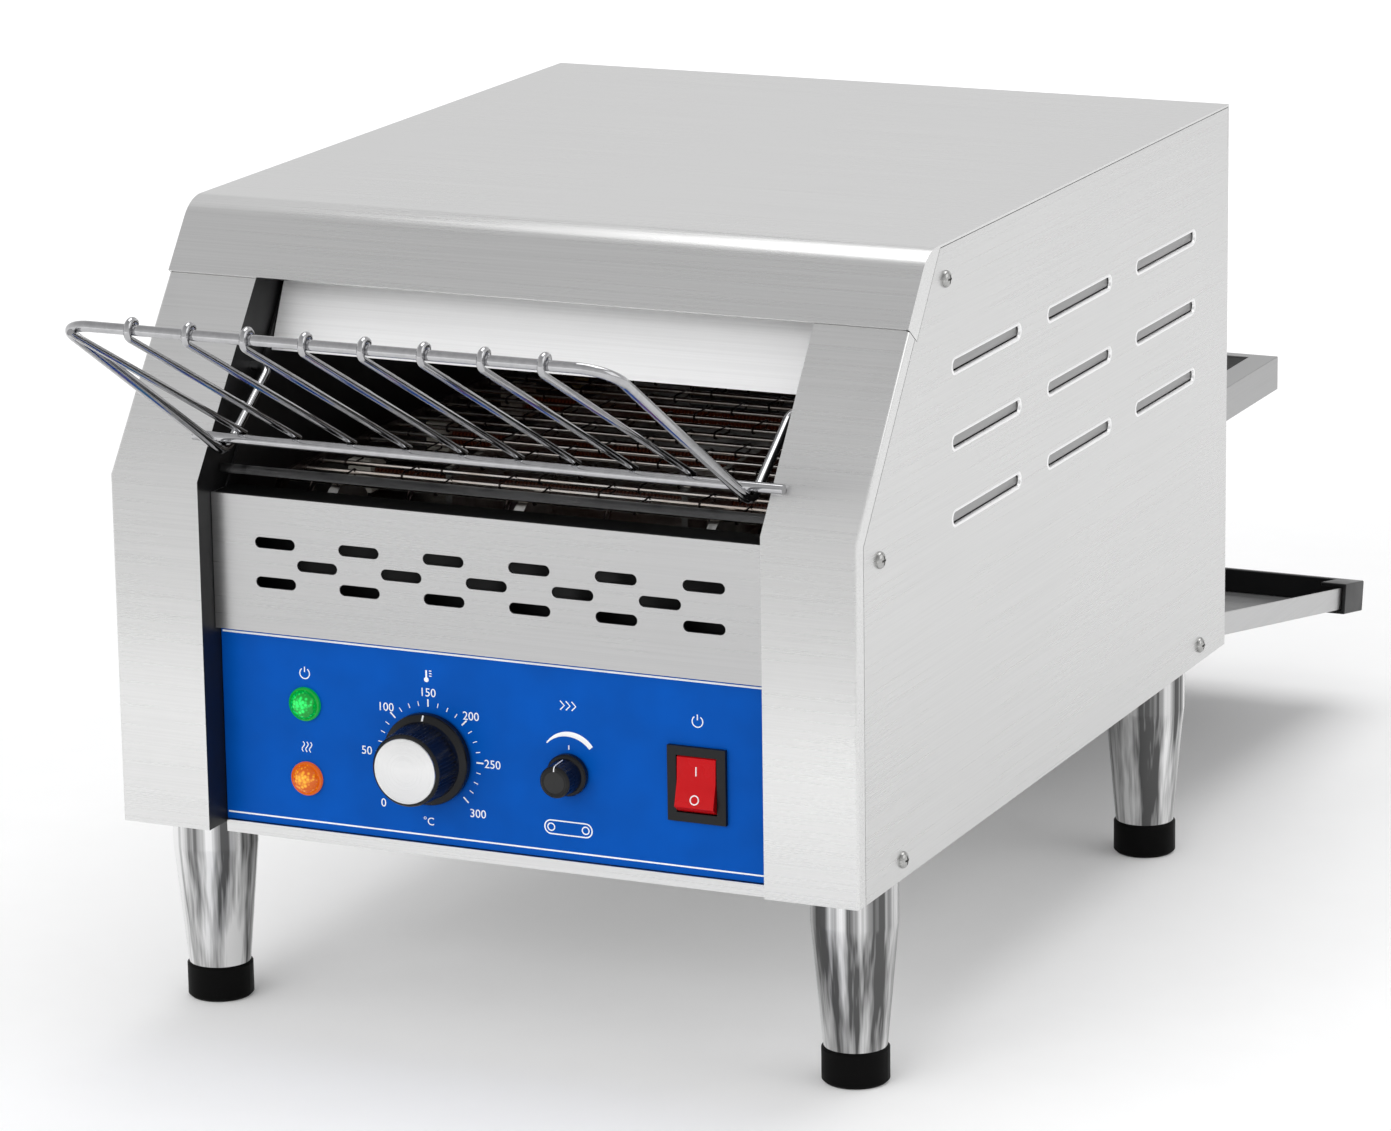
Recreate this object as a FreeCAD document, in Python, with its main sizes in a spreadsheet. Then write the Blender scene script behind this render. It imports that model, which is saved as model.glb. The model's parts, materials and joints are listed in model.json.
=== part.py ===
import FreeCAD, Part
import math
import os
import Sketcher

# Conveyor toaster, millimetres, +Z up, origin on the floor under the middle of the whole machine.
# X runs across the front, to the right of someone facing it; Y runs from the front to the back.
# All Y values below are counted from the front face of the front posts.

doc = FreeCAD.newDocument("ConveyorToaster")
sheet = doc.addObject("Spreadsheet::Sheet", "Sizes")

sizes = {
    # housing
    "body_width": 370.0,
    "body_depth": 480.0,
    "body_top": 375.0,
    "body_bottom": 96.0,
    "skin": 1.2,
    "seam": 0.3,
    "knee_height": 261.0,
    "hood_edge_drop": 31.4,
    "hood_edge_setback": 61.5,
    "hood_bend": 20.0,
    "hood_cheek": 10.7,
    "hood_lap": 12.0,
    "post_width": 45.4,
    "post_return": 8.0,
    "post_lap": 30.0,
    "rear_fold": 22.0,
    "base_flange": 18.0,
    "front_lip_drop": 4.5,
    "front_lip_setback": 15.6,
    # side vents
    "vent_length": 83.0,
    "vent_height": 6.0,
    "vent_first_column": 153.0,
    "vent_rear_margin": 90.6,
    "vent_top_drop": 58.0,
    "vent_row_pitch": 35.0,
    # perforated plate and control panel
    "plate_setback": 12.0,
    "plate_bottom": 190.0,
    "plate_top": 254.0,
    "slot_length": 20.5,
    "slot_height": 5.2,
    "slot_pitch": 42.8,
    "slot_middle_row": 223.2,
    "slot_row_pitch": 9.3,
    "panel_setback": 17.0,
    "panel_bottom": 97.5,
    "panel_top": 188.6,
    "lamp_radius": 8.0,
    "lamp_across": -96.5,
    "lamp_upper_height": 156.8,
    "lamp_lower_height": 121.3,
    "dial_across": -33.5,
    "dial_height": 138.0,
    "dial_radius": 21.5,
    "dial_grip_radius": 18.0,
    "dial_face_radius": 15.5,
    "dial_reach": 25.0,
    "dial_bore": 3.0,
    "speed_across": 37.0,
    "speed_height": 138.0,
    "speed_radius": 9.8,
    "speed_reach": 16.0,
    "speed_bore": 3.0,
    "switch_across": 100.7,
    "switch_height": 140.0,
    "switch_frame_width": 28.5,
    "switch_frame_height": 35.0,
    "rocker_width": 19.0,
    "rocker_height": 25.0,
    # fixings
    "screw_head": 3.9,
    "screw_shank": 1.9,
    "cover_screw_setback": 103.5,
    "cover_screw_drop": 16.3,
    # legs
    "leg_inset": 22.0,
    "leg_front": 47.0,
    "leg_rear_inset": 57.0,
    "leg_radius": 20.0,
    "leg_collar": 20.0,
    "leg_foot_radius": 14.6,
    "foot_radius": 15.6,
    "foot_height": 17.0,
    # feed rack
    "rack_rod": 2.4,
    "rack_wire": 1.6,
    "rack_side_gap": 8.6,
    "rack_slope": 32.0,
    "rack_length": 166.0,
    "rack_arm_slope": 35.0,
    "rack_arm_length": 54.0,
    "rack_corner": 15.0,
    "rack_elbow": 11.0,
    "rack_rest_along": 22.0,
    "rack_rest_overlap": 6.9,
    "rack_pin_overlap": 5.4,
    "rack_wire_margin": 8.0,
    "rack_wire_end_gap": 30.0,
    "rack_hook_reach": 13.0,
    "rack_hook_rise": 5.5,
    "pin_play": 0.06,
    # chamber and belt
    "liner_depth": 24.0,
    "liner_top_drop": 35.0,
    "liner_end_inset": 50.0,
    "belt_height": 255.0,
    "belt_rod": 1.15,
    "belt_side_gap": 11.6,
    "belt_pitch": 16.0,
    "pitch_radius": 22.0,
    "drive_setback": 58.0,
    "idler_inset": 85.0,
    "shaft_radius": 5.0,
    "shaft_play": 0.05,
    "bush_radius": 9.0,
    "heater_radius": 4.5,
    "heater_upper_drop": 57.0,
    "heater_lower_height": 233.0,
    "heater_first": 150.0,
    "heater_end_gap": 81.0,
    "baffle_drop": 66.5,
    "baffle_setback": 70.0,
    # drive
    "motor_setback": 125.0,
    "motor_height": 142.0,
    "motor_radius": 28.0,
    "chain_stand_off": 12.9,
    "chain_width": 5.0,
    "drive_pitch_radius": 19.0,
    "motor_pitch_radius": 12.7,
    "fan_size": 80.0,
    "fan_depth": 25.0,
    "fan_across": -75.0,
    "fan_setback": 190.0,
    # rear shelf and tray
    "rear_side_inset": 10.0,
    "shelf_top": 223.0,
    "shelf_height": 17.5,
    "shelf_reach": 109.0,
    "tray_slope": 10.0,
    "tray_entry_top": 109.5,
    "tray_rail": 11.8,
    "tray_inside": 40.0,
    "tray_reach": 224.0,
    "cap_length": 32.0,
    "cap_over": 2.4,
    "exit_height": 165.0,
    "chute_length": 198.0,
}


class Length:
    # a number that remembers the sheet expression it comes from
    def __init__(self, text, value):
        self.text = text
        self.value = float(value)

    def __add__(self, other):
        return combine(self, "+", other)

    def __radd__(self, other):
        return combine(other, "+", self)

    def __sub__(self, other):
        return combine(self, "-", other)

    def __rsub__(self, other):
        return combine(other, "-", self)

    def __mul__(self, other):
        return combine(self, "*", other)

    def __rmul__(self, other):
        return combine(other, "*", self)

    def __truediv__(self, other):
        return combine(self, "/", other)

    def __rtruediv__(self, other):
        return combine(other, "/", self)

    def __neg__(self):
        return combine(-1.0, "*", self)


def num(item):
    return item.value if isinstance(item, Length) else float(item)


def text(item):
    return item.text if isinstance(item, Length) else "({:.9g})".format(float(item))


def combine(left, sign, right):
    a, b = num(left), num(right)
    result = {"+": a + b, "-": a - b, "*": a * b, "/": a / b if sign == "/" else 0.0}[sign]
    return Length("({} {} {})".format(text(left), sign, text(right)), result)


def root(item):
    return Length("sqrt({})".format(text(item)), math.sqrt(num(item)))


def cosine(item):
    return Length("cos({})".format(text(item)), math.cos(math.radians(num(item))))


def sine(item):
    return Length("sin({})".format(text(item)), math.sin(math.radians(num(item))))


for row, (name, number) in enumerate(sizes.items(), start=1):
    sheet.set("A{}".format(row), name)
    sheet.set("B{}".format(row), str(number))
    sheet.setAlias("B{}".format(row), name)
doc.recompute()
size = {name: Length("Sizes." + name, number) for name, number in sizes.items()}


def of(name):
    return size[name]


skin = of("skin")
seam = of("seam")
half = of("body_width") / 2
inner_x = half - of("post_width")
bottom = of("body_bottom")
knee = of("knee_height")
rise = of("body_top") - of("hood_edge_drop") - knee
run = of("hood_edge_setback")
slant = root(rise * rise + run * run)
uy = run / slant
uz = rise / slant
tray_cos = cosine(of("tray_slope"))
tray_sin = sine(of("tray_slope"))
rack_cos = cosine(of("rack_slope"))
rack_sin = sine(of("rack_slope"))


def slanted(along, depth):
    # a point in the side view, measured up the slanted face and inwards from it
    return (along * uy + depth * uz, knee + along * uz - depth * uy)


def bent(depth):
    # the same inward offset where the upright face meets the slanted one
    return (depth, knee - depth * (1 - uz) / uy)


def slanted_at(height, depth):
    along = (height - knee + depth * uy) / uz
    return slanted(along, depth)


# feed rack points in the side view: cross rod, elbow, rail and pivot
rest_gap = of("rack_rod") + seam
rest_y, rest_z = slanted(of("rack_rest_along"), -rest_gap)
arm_cos = cosine(of("rack_arm_slope"))
arm_sin = sine(of("rack_arm_slope"))
half_turn = (of("rack_slope") + of("rack_arm_slope")) / 2
elbow_drop = of("rack_elbow") * (1 / cosine(half_turn) - 1) + 2 * of("rack_rod") + 0.02
lean = (of("rack_arm_slope") - of("rack_slope")) / 2
elbow_y = rest_y + elbow_drop * sine(lean)
elbow_z = rest_z - elbow_drop * cosine(lean)
rail_y = elbow_y - of("rack_length") * rack_cos
rail_z = elbow_z + of("rack_length") * rack_sin
pivot_y = elbow_y + of("rack_arm_length") * arm_cos
pivot_z = elbow_z + of("rack_arm_length") * arm_sin

# the rack's wires run over the cross rod and under the rail, and end in upright hooks
wire_gap = of("rack_rod") + of("rack_wire") + 0.12
wire_low = (rest_y + wire_gap * rack_sin, rest_z + wire_gap * rack_cos)
wire_high = (rail_y - wire_gap * rack_sin, rail_z - wire_gap * rack_cos)
wire_dy = wire_high[0] - wire_low[0]
wire_dz = wire_high[1] - wire_low[1]
wire_run = root(wire_dy * wire_dy + wire_dz * wire_dz)
hook_y = wire_high[0] + wire_dy / wire_run * of("rack_hook_reach")
hook_z = wire_high[1] + wire_dz / wire_run * of("rack_hook_reach")


def tray_point(out, down):
    # the tray slopes down to the back: distance out from the back face, and square to its rails
    return (of("body_depth") + out * tray_cos - down * tray_sin,
            of("tray_entry_top") - out * tray_sin - down * tray_cos)


# the shift that centres the whole machine on the origin, from hook tips to tray end
tray_end = of("tray_reach") + of("cap_length")
front_y = -(hook_y - of("rack_wire") + tray_point(tray_end, -of("cap_over"))[0]) / 2
pieces = []


def keep(item, label):
    item.Label = label
    pieces.append(item)
    return item


def bind(item, prop, amount):
    item.setExpression(prop, text(amount))


def new_body(name):
    return doc.addObject("PartDesign::Body", name)


def new_sketch(body, plane, offset):
    sketch = body.newObject("Sketcher::SketchObject", body.Name + "_sketch")
    support = [item for item in body.Origin.OriginFeatures if item.Role == plane + "_Plane"][0]
    sketch.AttachmentSupport = [(support, "")]
    sketch.MapMode = "FlatFace"
    bind(sketch, "AttachmentOffset.Base.z", offset)
    return sketch


def fixed(kind, geo, pos, amount):
    return (Sketcher.Constraint(kind, -1, 1, geo, pos, num(amount)), amount)


def outline_parts(first, points):
    count = len(points)
    spots = [FreeCAD.Vector(num(a), num(b), 0) for a, b in points]
    lines = [Part.LineSegment(spots[index], spots[(index + 1) % count]) for index in range(count)]
    ties = []
    for index, (a, b) in enumerate(points):
        following = first + (index + 1) % count
        ties.append((Sketcher.Constraint("Coincident", first + index, 2, following, 1), None))
        ties.append(fixed("DistanceX", first + index, 1, a))
        ties.append(fixed("DistanceY", first + index, 1, b))
    return lines, ties


def circle_parts(first, a, b, radius):
    centre = FreeCAD.Vector(num(a), num(b), 0)
    ties = [fixed("DistanceX", first, 3, a), fixed("DistanceY", first, 3, b),
            (Sketcher.Constraint("Radius", first, num(radius)), radius)]
    return [Part.Circle(centre, FreeCAD.Vector(0, 0, 1), num(radius))], ties


def slot_parts(first, a, b, length, height):
    # a slot with round ends, long side along the sketch's first axis
    radius = height / 2
    left = a - length / 2 + radius
    right = a + length / 2 - radius
    up = FreeCAD.Vector(0, 0, 1)
    arcs = []
    for centre, start in ((left, 0.5), (right, -0.5)):
        circle = Part.Circle(FreeCAD.Vector(num(centre), num(b), 0), up, num(radius))
        arcs.append(Part.ArcOfCircle(circle, start * math.pi, (start + 1) * math.pi))
    over, under = num(b) + num(radius), num(b) - num(radius)
    low = Part.LineSegment(FreeCAD.Vector(num(left), under, 0), FreeCAD.Vector(num(right), under, 0))
    high = Part.LineSegment(FreeCAD.Vector(num(right), over, 0), FreeCAD.Vector(num(left), over, 0))
    corners = ((first, 2, first + 2, 1), (first + 2, 2, first + 1, 1), (first + 1, 2, first + 3, 1),
               (first + 3, 2, first, 1))
    ties = [(Sketcher.Constraint("Tangent", *corner), None) for corner in corners]
    for geo, centre in ((first, left), (first + 1, right)):
        ties.append(fixed("DistanceX", geo, 3, centre))
        ties.append(fixed("DistanceY", geo, 3, b))
    ties.append((Sketcher.Constraint("Radius", first, num(radius)), radius))
    return arcs + [low, high], ties


def draw(sketch, shapes):
    drawn = []
    ties = []
    for shape in shapes:
        first = len(drawn)
        if shape[0] == "circle":
            lines, more = circle_parts(first, *shape[1:])
        elif shape[0] == "slot":
            lines, more = slot_parts(first, *shape[1:])
        else:
            lines, more = outline_parts(first, shape)
        drawn += lines
        ties += more
    sketch.addGeometry(drawn, False)
    sketch.addConstraint([tie for tie, amount in ties])
    for index, (tie, amount) in enumerate(ties):
        if amount is not None:
            sketch.setExpression("Constraints[{}]".format(index), text(amount))


def add_pad(body, plane, start, end, shapes):
    # YZ pads run along X, XZ pads along Y and XY pads along Z, always from start to end
    flip = plane == "XZ"
    sketch = new_sketch(body, plane, -start if flip else start)
    draw(sketch, shapes)
    pad = body.newObject("PartDesign::Pad", body.Name + "_pad")
    pad.Profile = sketch
    pad.Reversed = flip
    bind(pad, "Length", end - start)
    return pad


def add_pocket(body, plane, start, end, shapes):
    flip = plane == "XZ"
    sketch = new_sketch(body, plane, -start if flip else end)
    draw(sketch, shapes)
    doc.recompute()
    before = body.Shape.Volume
    pocket = body.newObject("PartDesign::Pocket", body.Name + "_pocket")
    pocket.Profile = sketch
    bind(pocket, "Length", end - start)
    doc.recompute()
    if body.Shape.Volume >= before - 1e-6:
        raise ValueError(body.Label + ": a pocket cuts nothing")
    return pocket


def prism(name, plane, pads, cuts=()):
    body = new_body(name)
    for start, end, shapes in pads:
        add_pad(body, plane, as_length(start), as_length(end), shapes)
    for cut_plane, start, end, shapes in cuts:
        add_pocket(body, cut_plane, as_length(start), as_length(end), shapes)
    bind(body, "Placement.Base.y", front_y)
    return body


def as_length(item):
    return item if isinstance(item, Length) else Length(text(item), item)


turns = {
    "up": FreeCAD.Rotation(),
    "front": FreeCAD.Rotation(FreeCAD.Vector(1, 0, 0), 90),
    "back": FreeCAD.Rotation(FreeCAD.Vector(1, 0, 0), -90),
    "right": FreeCAD.Rotation(FreeCAD.Vector(0, 1, 0), 90),
    "left": FreeCAD.Rotation(FreeCAD.Vector(0, 1, 0), -90),
}


def put(item, spot, facing="up"):
    item.Placement = FreeCAD.Placement(FreeCAD.Vector(), turns[facing])
    bind(item, "Placement.Base.x", spot[0])
    bind(item, "Placement.Base.y", spot[1] + front_y)
    bind(item, "Placement.Base.z", spot[2])
    return item


def turned(name, spot, facing, profile):
    # a round piece: the profile gives radius and distance along the axis
    body = new_body(name)
    sketch = new_sketch(body, "XZ", as_length(0))
    draw(sketch, [profile])
    solid = body.newObject("PartDesign::Revolution", name + "_turn")
    solid.Profile = sketch
    solid.ReferenceAxis = (sketch, ["V_Axis"])
    solid.Angle = 360
    return put(body, spot, facing)


def rod(name, spot, facing, radius, length):
    item = doc.addObject("Part::Cylinder", name)
    bind(item, "Radius", radius)
    bind(item, "Height", length)
    return put(item, spot, facing)


def block(name, low, high):
    item = doc.addObject("Part::Box", name)
    for prop, a, b in zip(("Length", "Width", "Height"), low, high):
        bind(item, prop, as_length(b) - a)
    return put(item, low)


def together(label, members):
    item = doc.addObject("Part::Compound", label)
    item.Links = members
    return keep(item, label)


def less(name, base, tools):
    cutter = tools[0]
    if len(tools) > 1:
        cutter = doc.addObject("Part::MultiFuse", name + "_tools")
        cutter.Shapes = tools
    item = doc.addObject("Part::Cut", name)
    item.Base = base
    item.Tool = cutter
    return item


def solid_feature(label, shape):
    item = doc.addObject("Part::Feature", label)
    item.Shape = shape
    item.Placement = FreeCAD.Placement(vector(0, front_y, 0), FreeCAD.Rotation()) * shape.Placement
    return keep(item, label)


def strip(low_depth, high_depth, top_along):
    # a band of the bent side profile between two depths
    return [(low_depth, bottom), bent(low_depth), slanted(top_along, low_depth),
            slanted(top_along, high_depth), bent(high_depth), (high_depth, bottom)]


def across(side, low, high):
    return (low, high) if side > 0 else (-high, -low)


sides = (("left", -1), ("right", 1))

# housing: posts, side panels, cover, back and base
screw_hole = of("screw_shank") + 0.2
post_screw = (26.0, 248.6)
screw_spots = (
    (of("cover_screw_setback"), of("body_top") - of("cover_screw_drop")),
    post_screw,
    (50.4, bottom + of("base_flange") / 2),
    (of("body_depth") - of("leg_rear_inset") + 19, bottom + of("base_flange") / 2),
)
post_top = slant + of("hood_lap")
post_edge = slant - seam
for word, side in sides:
    joggle = half - 2 * skin - seam
    post = prism("front_post_" + word, "YZ", [
        across(side, inner_x, half) + ([strip(as_length(0), skin, post_edge)],),
        across(side, half - skin, half) + ([strip(as_length(0), of("post_return"), post_edge)],),
        across(side, joggle, half) + ([strip(of("post_return") - skin, of("post_return"), post_edge)],),
        across(side, inner_x, half - skin - seam) + ([strip(as_length(0), skin, post_top)],),
        across(side, joggle, joggle + skin) + ([strip(of("post_return") - skin, of("post_lap"), post_top)],),
        across(side, inner_x, inner_x + skin) + ([strip(as_length(0), of("post_lap"), post_top)],),
    ], [
        ("YZ",) + across(side, inner_x - 1, inner_x + skin + 1)
        + ([("circle", pivot_y, pivot_z, of("rack_rod") + of("pin_play"))],),
        ("YZ",) + across(side, joggle - 1, joggle + skin + 0.1)
        + ([("circle", post_screw[0], post_screw[1], screw_hole)],),
    ])
    keep(post, "front_post_" + word)

panel_edge = of("post_return") + seam
cover_inner = of("body_top") - skin
panel_top = cover_inner - seam
cheek_depth = of("hood_cheek") + seam
back_edge = of("body_depth") - skin - seam
vent_pitch = (of("body_depth") - of("vent_first_column") - of("vent_rear_margin")) / 2
vents = []
for column in range(3):
    for line in range(3):
        vents.append(("slot", of("vent_first_column") + column * vent_pitch,
                      of("body_top") - of("vent_top_drop") - line * of("vent_row_pitch"),
                      of("vent_length"), of("vent_height")))
hood_low = slanted(post_edge, panel_edge)
hood_low_in = slanted(post_edge, cheek_depth)
fold_low = of("body_top") - of("rear_fold")
for word, side in sides:
    outline = [(panel_edge, bottom), bent(panel_edge), hood_low, hood_low_in,
               slanted_at(panel_top, cheek_depth), (back_edge, panel_top),
               (back_edge, fold_low - seam), (of("body_depth"), fold_low - seam), (of("body_depth"), bottom)]
    holes = [("circle", y, z, screw_hole) for y, z in screw_spots]
    panel = prism("side_panel_" + word, "YZ",
                  [across(side, half - skin, half) + ([outline],)],
                  [("YZ",) + across(side, half - skin - 1, half + 1) + (vents,),
                   ("YZ",) + across(side, half - skin - 1, half + 1) + (holes,)])
    keep(panel, "side_panel_" + word)

# the cover's front bend is drawn as a slanted face, then rounded
proud = skin + seam
hood_foot = slanted(slant, -proud)
hood_foot_in = slanted(slant, -seam)
top = of("body_top")
depth = of("body_depth")
cover_outline = [hood_foot, slanted_at(top, -proud), (depth, top), (depth, fold_low),
                 (depth - skin, fold_low), (depth - skin, cover_inner),
                 slanted_at(cover_inner, -seam), hood_foot_in]
cheek_outline = [hood_foot, slanted_at(top, -proud), slanted_at(top, of("hood_cheek")),
                 slanted(slant, of("hood_cheek"))]
lap_low = top - of("cover_screw_drop") - 6
lap_front = of("cover_screw_setback") - 6
lap_outline = [(lap_front, lap_low), (back_edge - 18, lap_low), (back_edge - 18, cover_inner),
               (lap_front + 15, cover_inner), (lap_front, cover_inner - 10)]
cover = prism("top_cover", "YZ", [
    (-half, half, [cover_outline]),
    (half - skin, half, [cheek_outline]),
    (-half, -half + skin, [cheek_outline]),
])
doc.recompute()


def edges_along_x(shape, y, z, reach=0.05):
    # names of the edges that run along X through the given side-view point
    found = []
    for index, edge in enumerate(shape.Edges, start=1):
        middle = edge.CenterOfMass
        length = edge.BoundBox.XLength
        if abs(middle.y - y) < reach and abs(middle.z - z) < reach and length > 0.5 * edge.Length:
            found.append("Edge{}".format(index))
    return found


def round_off(body, radius, spots):
    doc.recompute()
    base = body.Tip
    names = []
    for y, z in spots:
        names += edges_along_x(base.Shape, num(y), num(z))
    fillet = body.newObject("PartDesign::Fillet", body.Name + "_fillet")
    fillet.Base = (base, names)
    bind(fillet, "Radius", radius)
    doc.recompute()
    return fillet


round_off(cover, of("hood_bend"), [slanted_at(top, -proud)])
round_off(cover, of("hood_bend") - skin, [slanted_at(cover_inner, -seam)])
lap_out = half - skin - seam
for side in (-1, 1):
    low, high = across(side, lap_out - skin, lap_out)
    add_pad(cover, "YZ", low, high, [lap_outline])
    add_pocket(cover, "YZ", low - 0.1, high + 0.1, [("circle",) + screw_spots[0] + (screw_hole,)])
keep(cover, "top_cover")

floor_top = bottom + skin
flange_top = bottom + of("base_flange")
base_half = half - skin - seam
lip = of("front_lip_setback")
lap_end = of("post_lap") + seam
back_inner = back_edge - skin
base_outline = [(-base_half, lap_end + 0.3), (-inner_x + 0.6, lap_end + 0.3), (-inner_x + 0.6, lip),
                (inner_x - 0.6, lip), (inner_x - 0.6, lap_end + 0.3), (base_half, lap_end + 0.3),
                (base_half, back_inner), (-base_half, back_inner)]
fan_hole = [("circle", of("fan_across"), of("fan_setback"), of("fan_size") / 2 - 4)]
flange_holes = [("circle", y, z, screw_hole) for y, z in screw_spots[2:]]
leg_rows = (of("leg_front"), of("body_depth") - of("leg_rear_inset"))
under_x = half - 8
under_holes = [("circle", side * under_x, row + 28, screw_hole) for side in (-1, 1) for row in leg_rows]
base = prism("base_plate", "XY", [(bottom, floor_top, [base_outline])], [
    ("XY", bottom - 1, floor_top + 1, fan_hole + under_holes),
])
front_flange = [(lip, bottom - of("front_lip_drop")), (lip + skin, bottom - of("front_lip_drop")),
                (lip + skin, floor_top), (lip, floor_top)]
side_flange = [(lap_end + 0.3, bottom), (back_inner, bottom), (back_inner, flange_top),
               (lap_end + 0.3, flange_top)]
add_pad(base, "YZ", -inner_x + 0.6, inner_x - 0.6, [front_flange])
add_pad(base, "YZ", base_half - skin, base_half, [side_flange])
add_pad(base, "YZ", -base_half, -base_half + skin, [side_flange])
add_pocket(base, "YZ", -half, half, flange_holes)
keep(base, "base_plate")

exit_top = of("exit_height")
rear_half = half - of("rear_side_inset")
back_top = fold_low + of("rear_fold") - skin - 2 * seam
back_outline = [(-base_half, floor_top + seam), (-rear_half - 3, floor_top + seam), (-rear_half - 3, exit_top),
                (rear_half + 3, exit_top), (rear_half + 3, floor_top + seam), (base_half, floor_top + seam),
                (base_half, back_top), (-base_half, back_top)]
gland_spot = (-half + 55, exit_top + 20)
back_vents = []
for column in range(5):
    for line in range(4):
        back_vents.append(("slot", as_length(-104.0) + 52.0 * column, of("body_top") - 125.0 + 22.0 * line,
                           as_length(40.0), as_length(5.0)))
back = prism("back_panel", "XZ", [(back_inner, back_edge, [back_outline])], [
    ("XZ", back_inner - 1, back_edge + 1, back_vents),
    ("XZ", back_inner - 1, back_edge + 1, [("circle",) + gland_spot + (as_length(8.2),)]),
])
for side in (-1, 1):
    low, high = across(side, base_half - skin, base_half)
    back_flange = [(low, flange_top + seam), (high, flange_top + seam), (high, back_top), (low, back_top)]
    add_pad(back, "XZ", back_inner - 12, back_edge, [back_flange])
keep(back, "back_panel")

# front plate, control panel and sill
plate = of("plate_setback")
plate_half = inner_x - seam
slots = []
for index in range(6):
    x = (index - 2.5) * of("slot_pitch")
    for z in (of("slot_middle_row") + of("slot_row_pitch"), of("slot_middle_row") - of("slot_row_pitch")):
        slots.append(("slot", x, z, of("slot_length"), of("slot_height")))
for index in range(5):
    slots.append(("slot", (index - 2) * of("slot_pitch"), of("slot_middle_row"), of("slot_length"),
                  of("slot_height")))
plate_low, plate_high = of("plate_bottom"), of("plate_top")
perforated = prism("perforated_front_plate", "YZ", [
    (-plate_half, plate_half, [[(plate, plate_low), (plate + 11, plate_low), (plate + 11, plate_low + skin),
                                (plate + skin, plate_low + skin), (plate + skin, plate_high),
                                (plate, plate_high)]]),
    (-plate_half, -plate_half + skin, [[(plate, plate_low), (plate + 11, plate_low), (plate + 11, plate_high),
                                        (plate, plate_high)]]),
    (plate_half - skin, plate_half, [[(plate, plate_low), (plate + 11, plate_low), (plate + 11, plate_high),
                                      (plate, plate_high)]]),
], [("XZ", plate - 1, plate + skin + 1, slots)])
keep(perforated, "perforated_front_plate")

sill_half = plate_half - skin - seam
sill_near, sill_far = plate + skin + seam, plate + 17
sill = prism("front_sill", "YZ", [
    (-sill_half, sill_half, [[(sill_near, plate_high - skin - 10), (sill_near + skin, plate_high - skin - 10),
                              (sill_near + skin, plate_high - skin), (sill_far, plate_high - skin),
                              (sill_far, plate_high - 22), (sill_far + skin, plate_high - 22),
                              (sill_far + skin, plate_high), (sill_near, plate_high)]]),
])
keep(sill, "front_sill")

face = of("panel_setback")
panel_low, panel_high = of("panel_bottom"), of("panel_top")
dial_x, dial_z = of("dial_across"), of("dial_height")
speed_x, speed_z = of("speed_across"), of("speed_height")
lamp_x = of("lamp_across")
lamp_heights = (of("lamp_upper_height"), of("lamp_lower_height"))
switch_x, switch_z = of("switch_across"), of("switch_height")
frame_w, frame_h = of("switch_frame_width"), of("switch_frame_height")


def rectangle(centre, width, height):
    x, z = centre
    return [(x - width / 2, z - height / 2), (x + width / 2, z - height / 2),
            (x + width / 2, z + height / 2), (x - width / 2, z + height / 2)]


switch_hole = rectangle((switch_x, switch_z), frame_w - 3.4, frame_h - 3.4)
panel_cuts = [("circle", lamp_x, z, of("lamp_radius") - 1.7) for z in lamp_heights]
panel_cuts += [("circle", dial_x, dial_z, of("dial_bore") + 1),
               ("circle", speed_x, speed_z, of("speed_bore") + 1)]
control = prism("control_panel", "XZ", [
    (face, face + skin, [rectangle((as_length(0), (panel_low + panel_high) / 2), 2 * plate_half,
                                   panel_high - panel_low)]),
    (face, face + 6.5, [rectangle((-plate_half + skin / 2, (panel_low + panel_high) / 2), skin,
                                  panel_high - panel_low)]),
    (face, face + 6.5, [rectangle((plate_half - skin / 2, (panel_low + panel_high) / 2), skin,
                                  panel_high - panel_low)]),
], [("XZ", face - 1, face + skin + 1, panel_cuts), ("XZ", face - 1, face + skin + 1, [switch_hole])])
keep(control, "control_panel")

# signal lamps: a domed lens with its collar, and the socket behind the panel
lamp_r = of("lamp_radius")
lamp_names = ("green", "amber")
sockets = []
for word, z in zip(lamp_names, lamp_heights):
    lens = turned("lamp_" + word, (lamp_x, face, z), "front",
                  [(as_length(0), as_length(0.0)), (lamp_r, as_length(0.0)), (lamp_r, as_length(1.6)),
                   (lamp_r - 1.2, as_length(3.2)), (lamp_r - 3.2, as_length(4.6)), (as_length(0), as_length(5.2))])
    keep(lens, "lamp_" + word)
    sockets.append(turned("lamp_socket_" + word, (lamp_x, face, z), "back",
                          [(as_length(0), as_length(0.0)), (lamp_r - 2, as_length(0.0)), (lamp_r - 2, skin),
                           (lamp_r, skin), (lamp_r, skin + 2.5), (lamp_r - 2, skin + 2.5),
                           (lamp_r - 2, as_length(22.0)), (as_length(0), as_length(22.0))]))
together("lamp_sockets", sockets)

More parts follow.
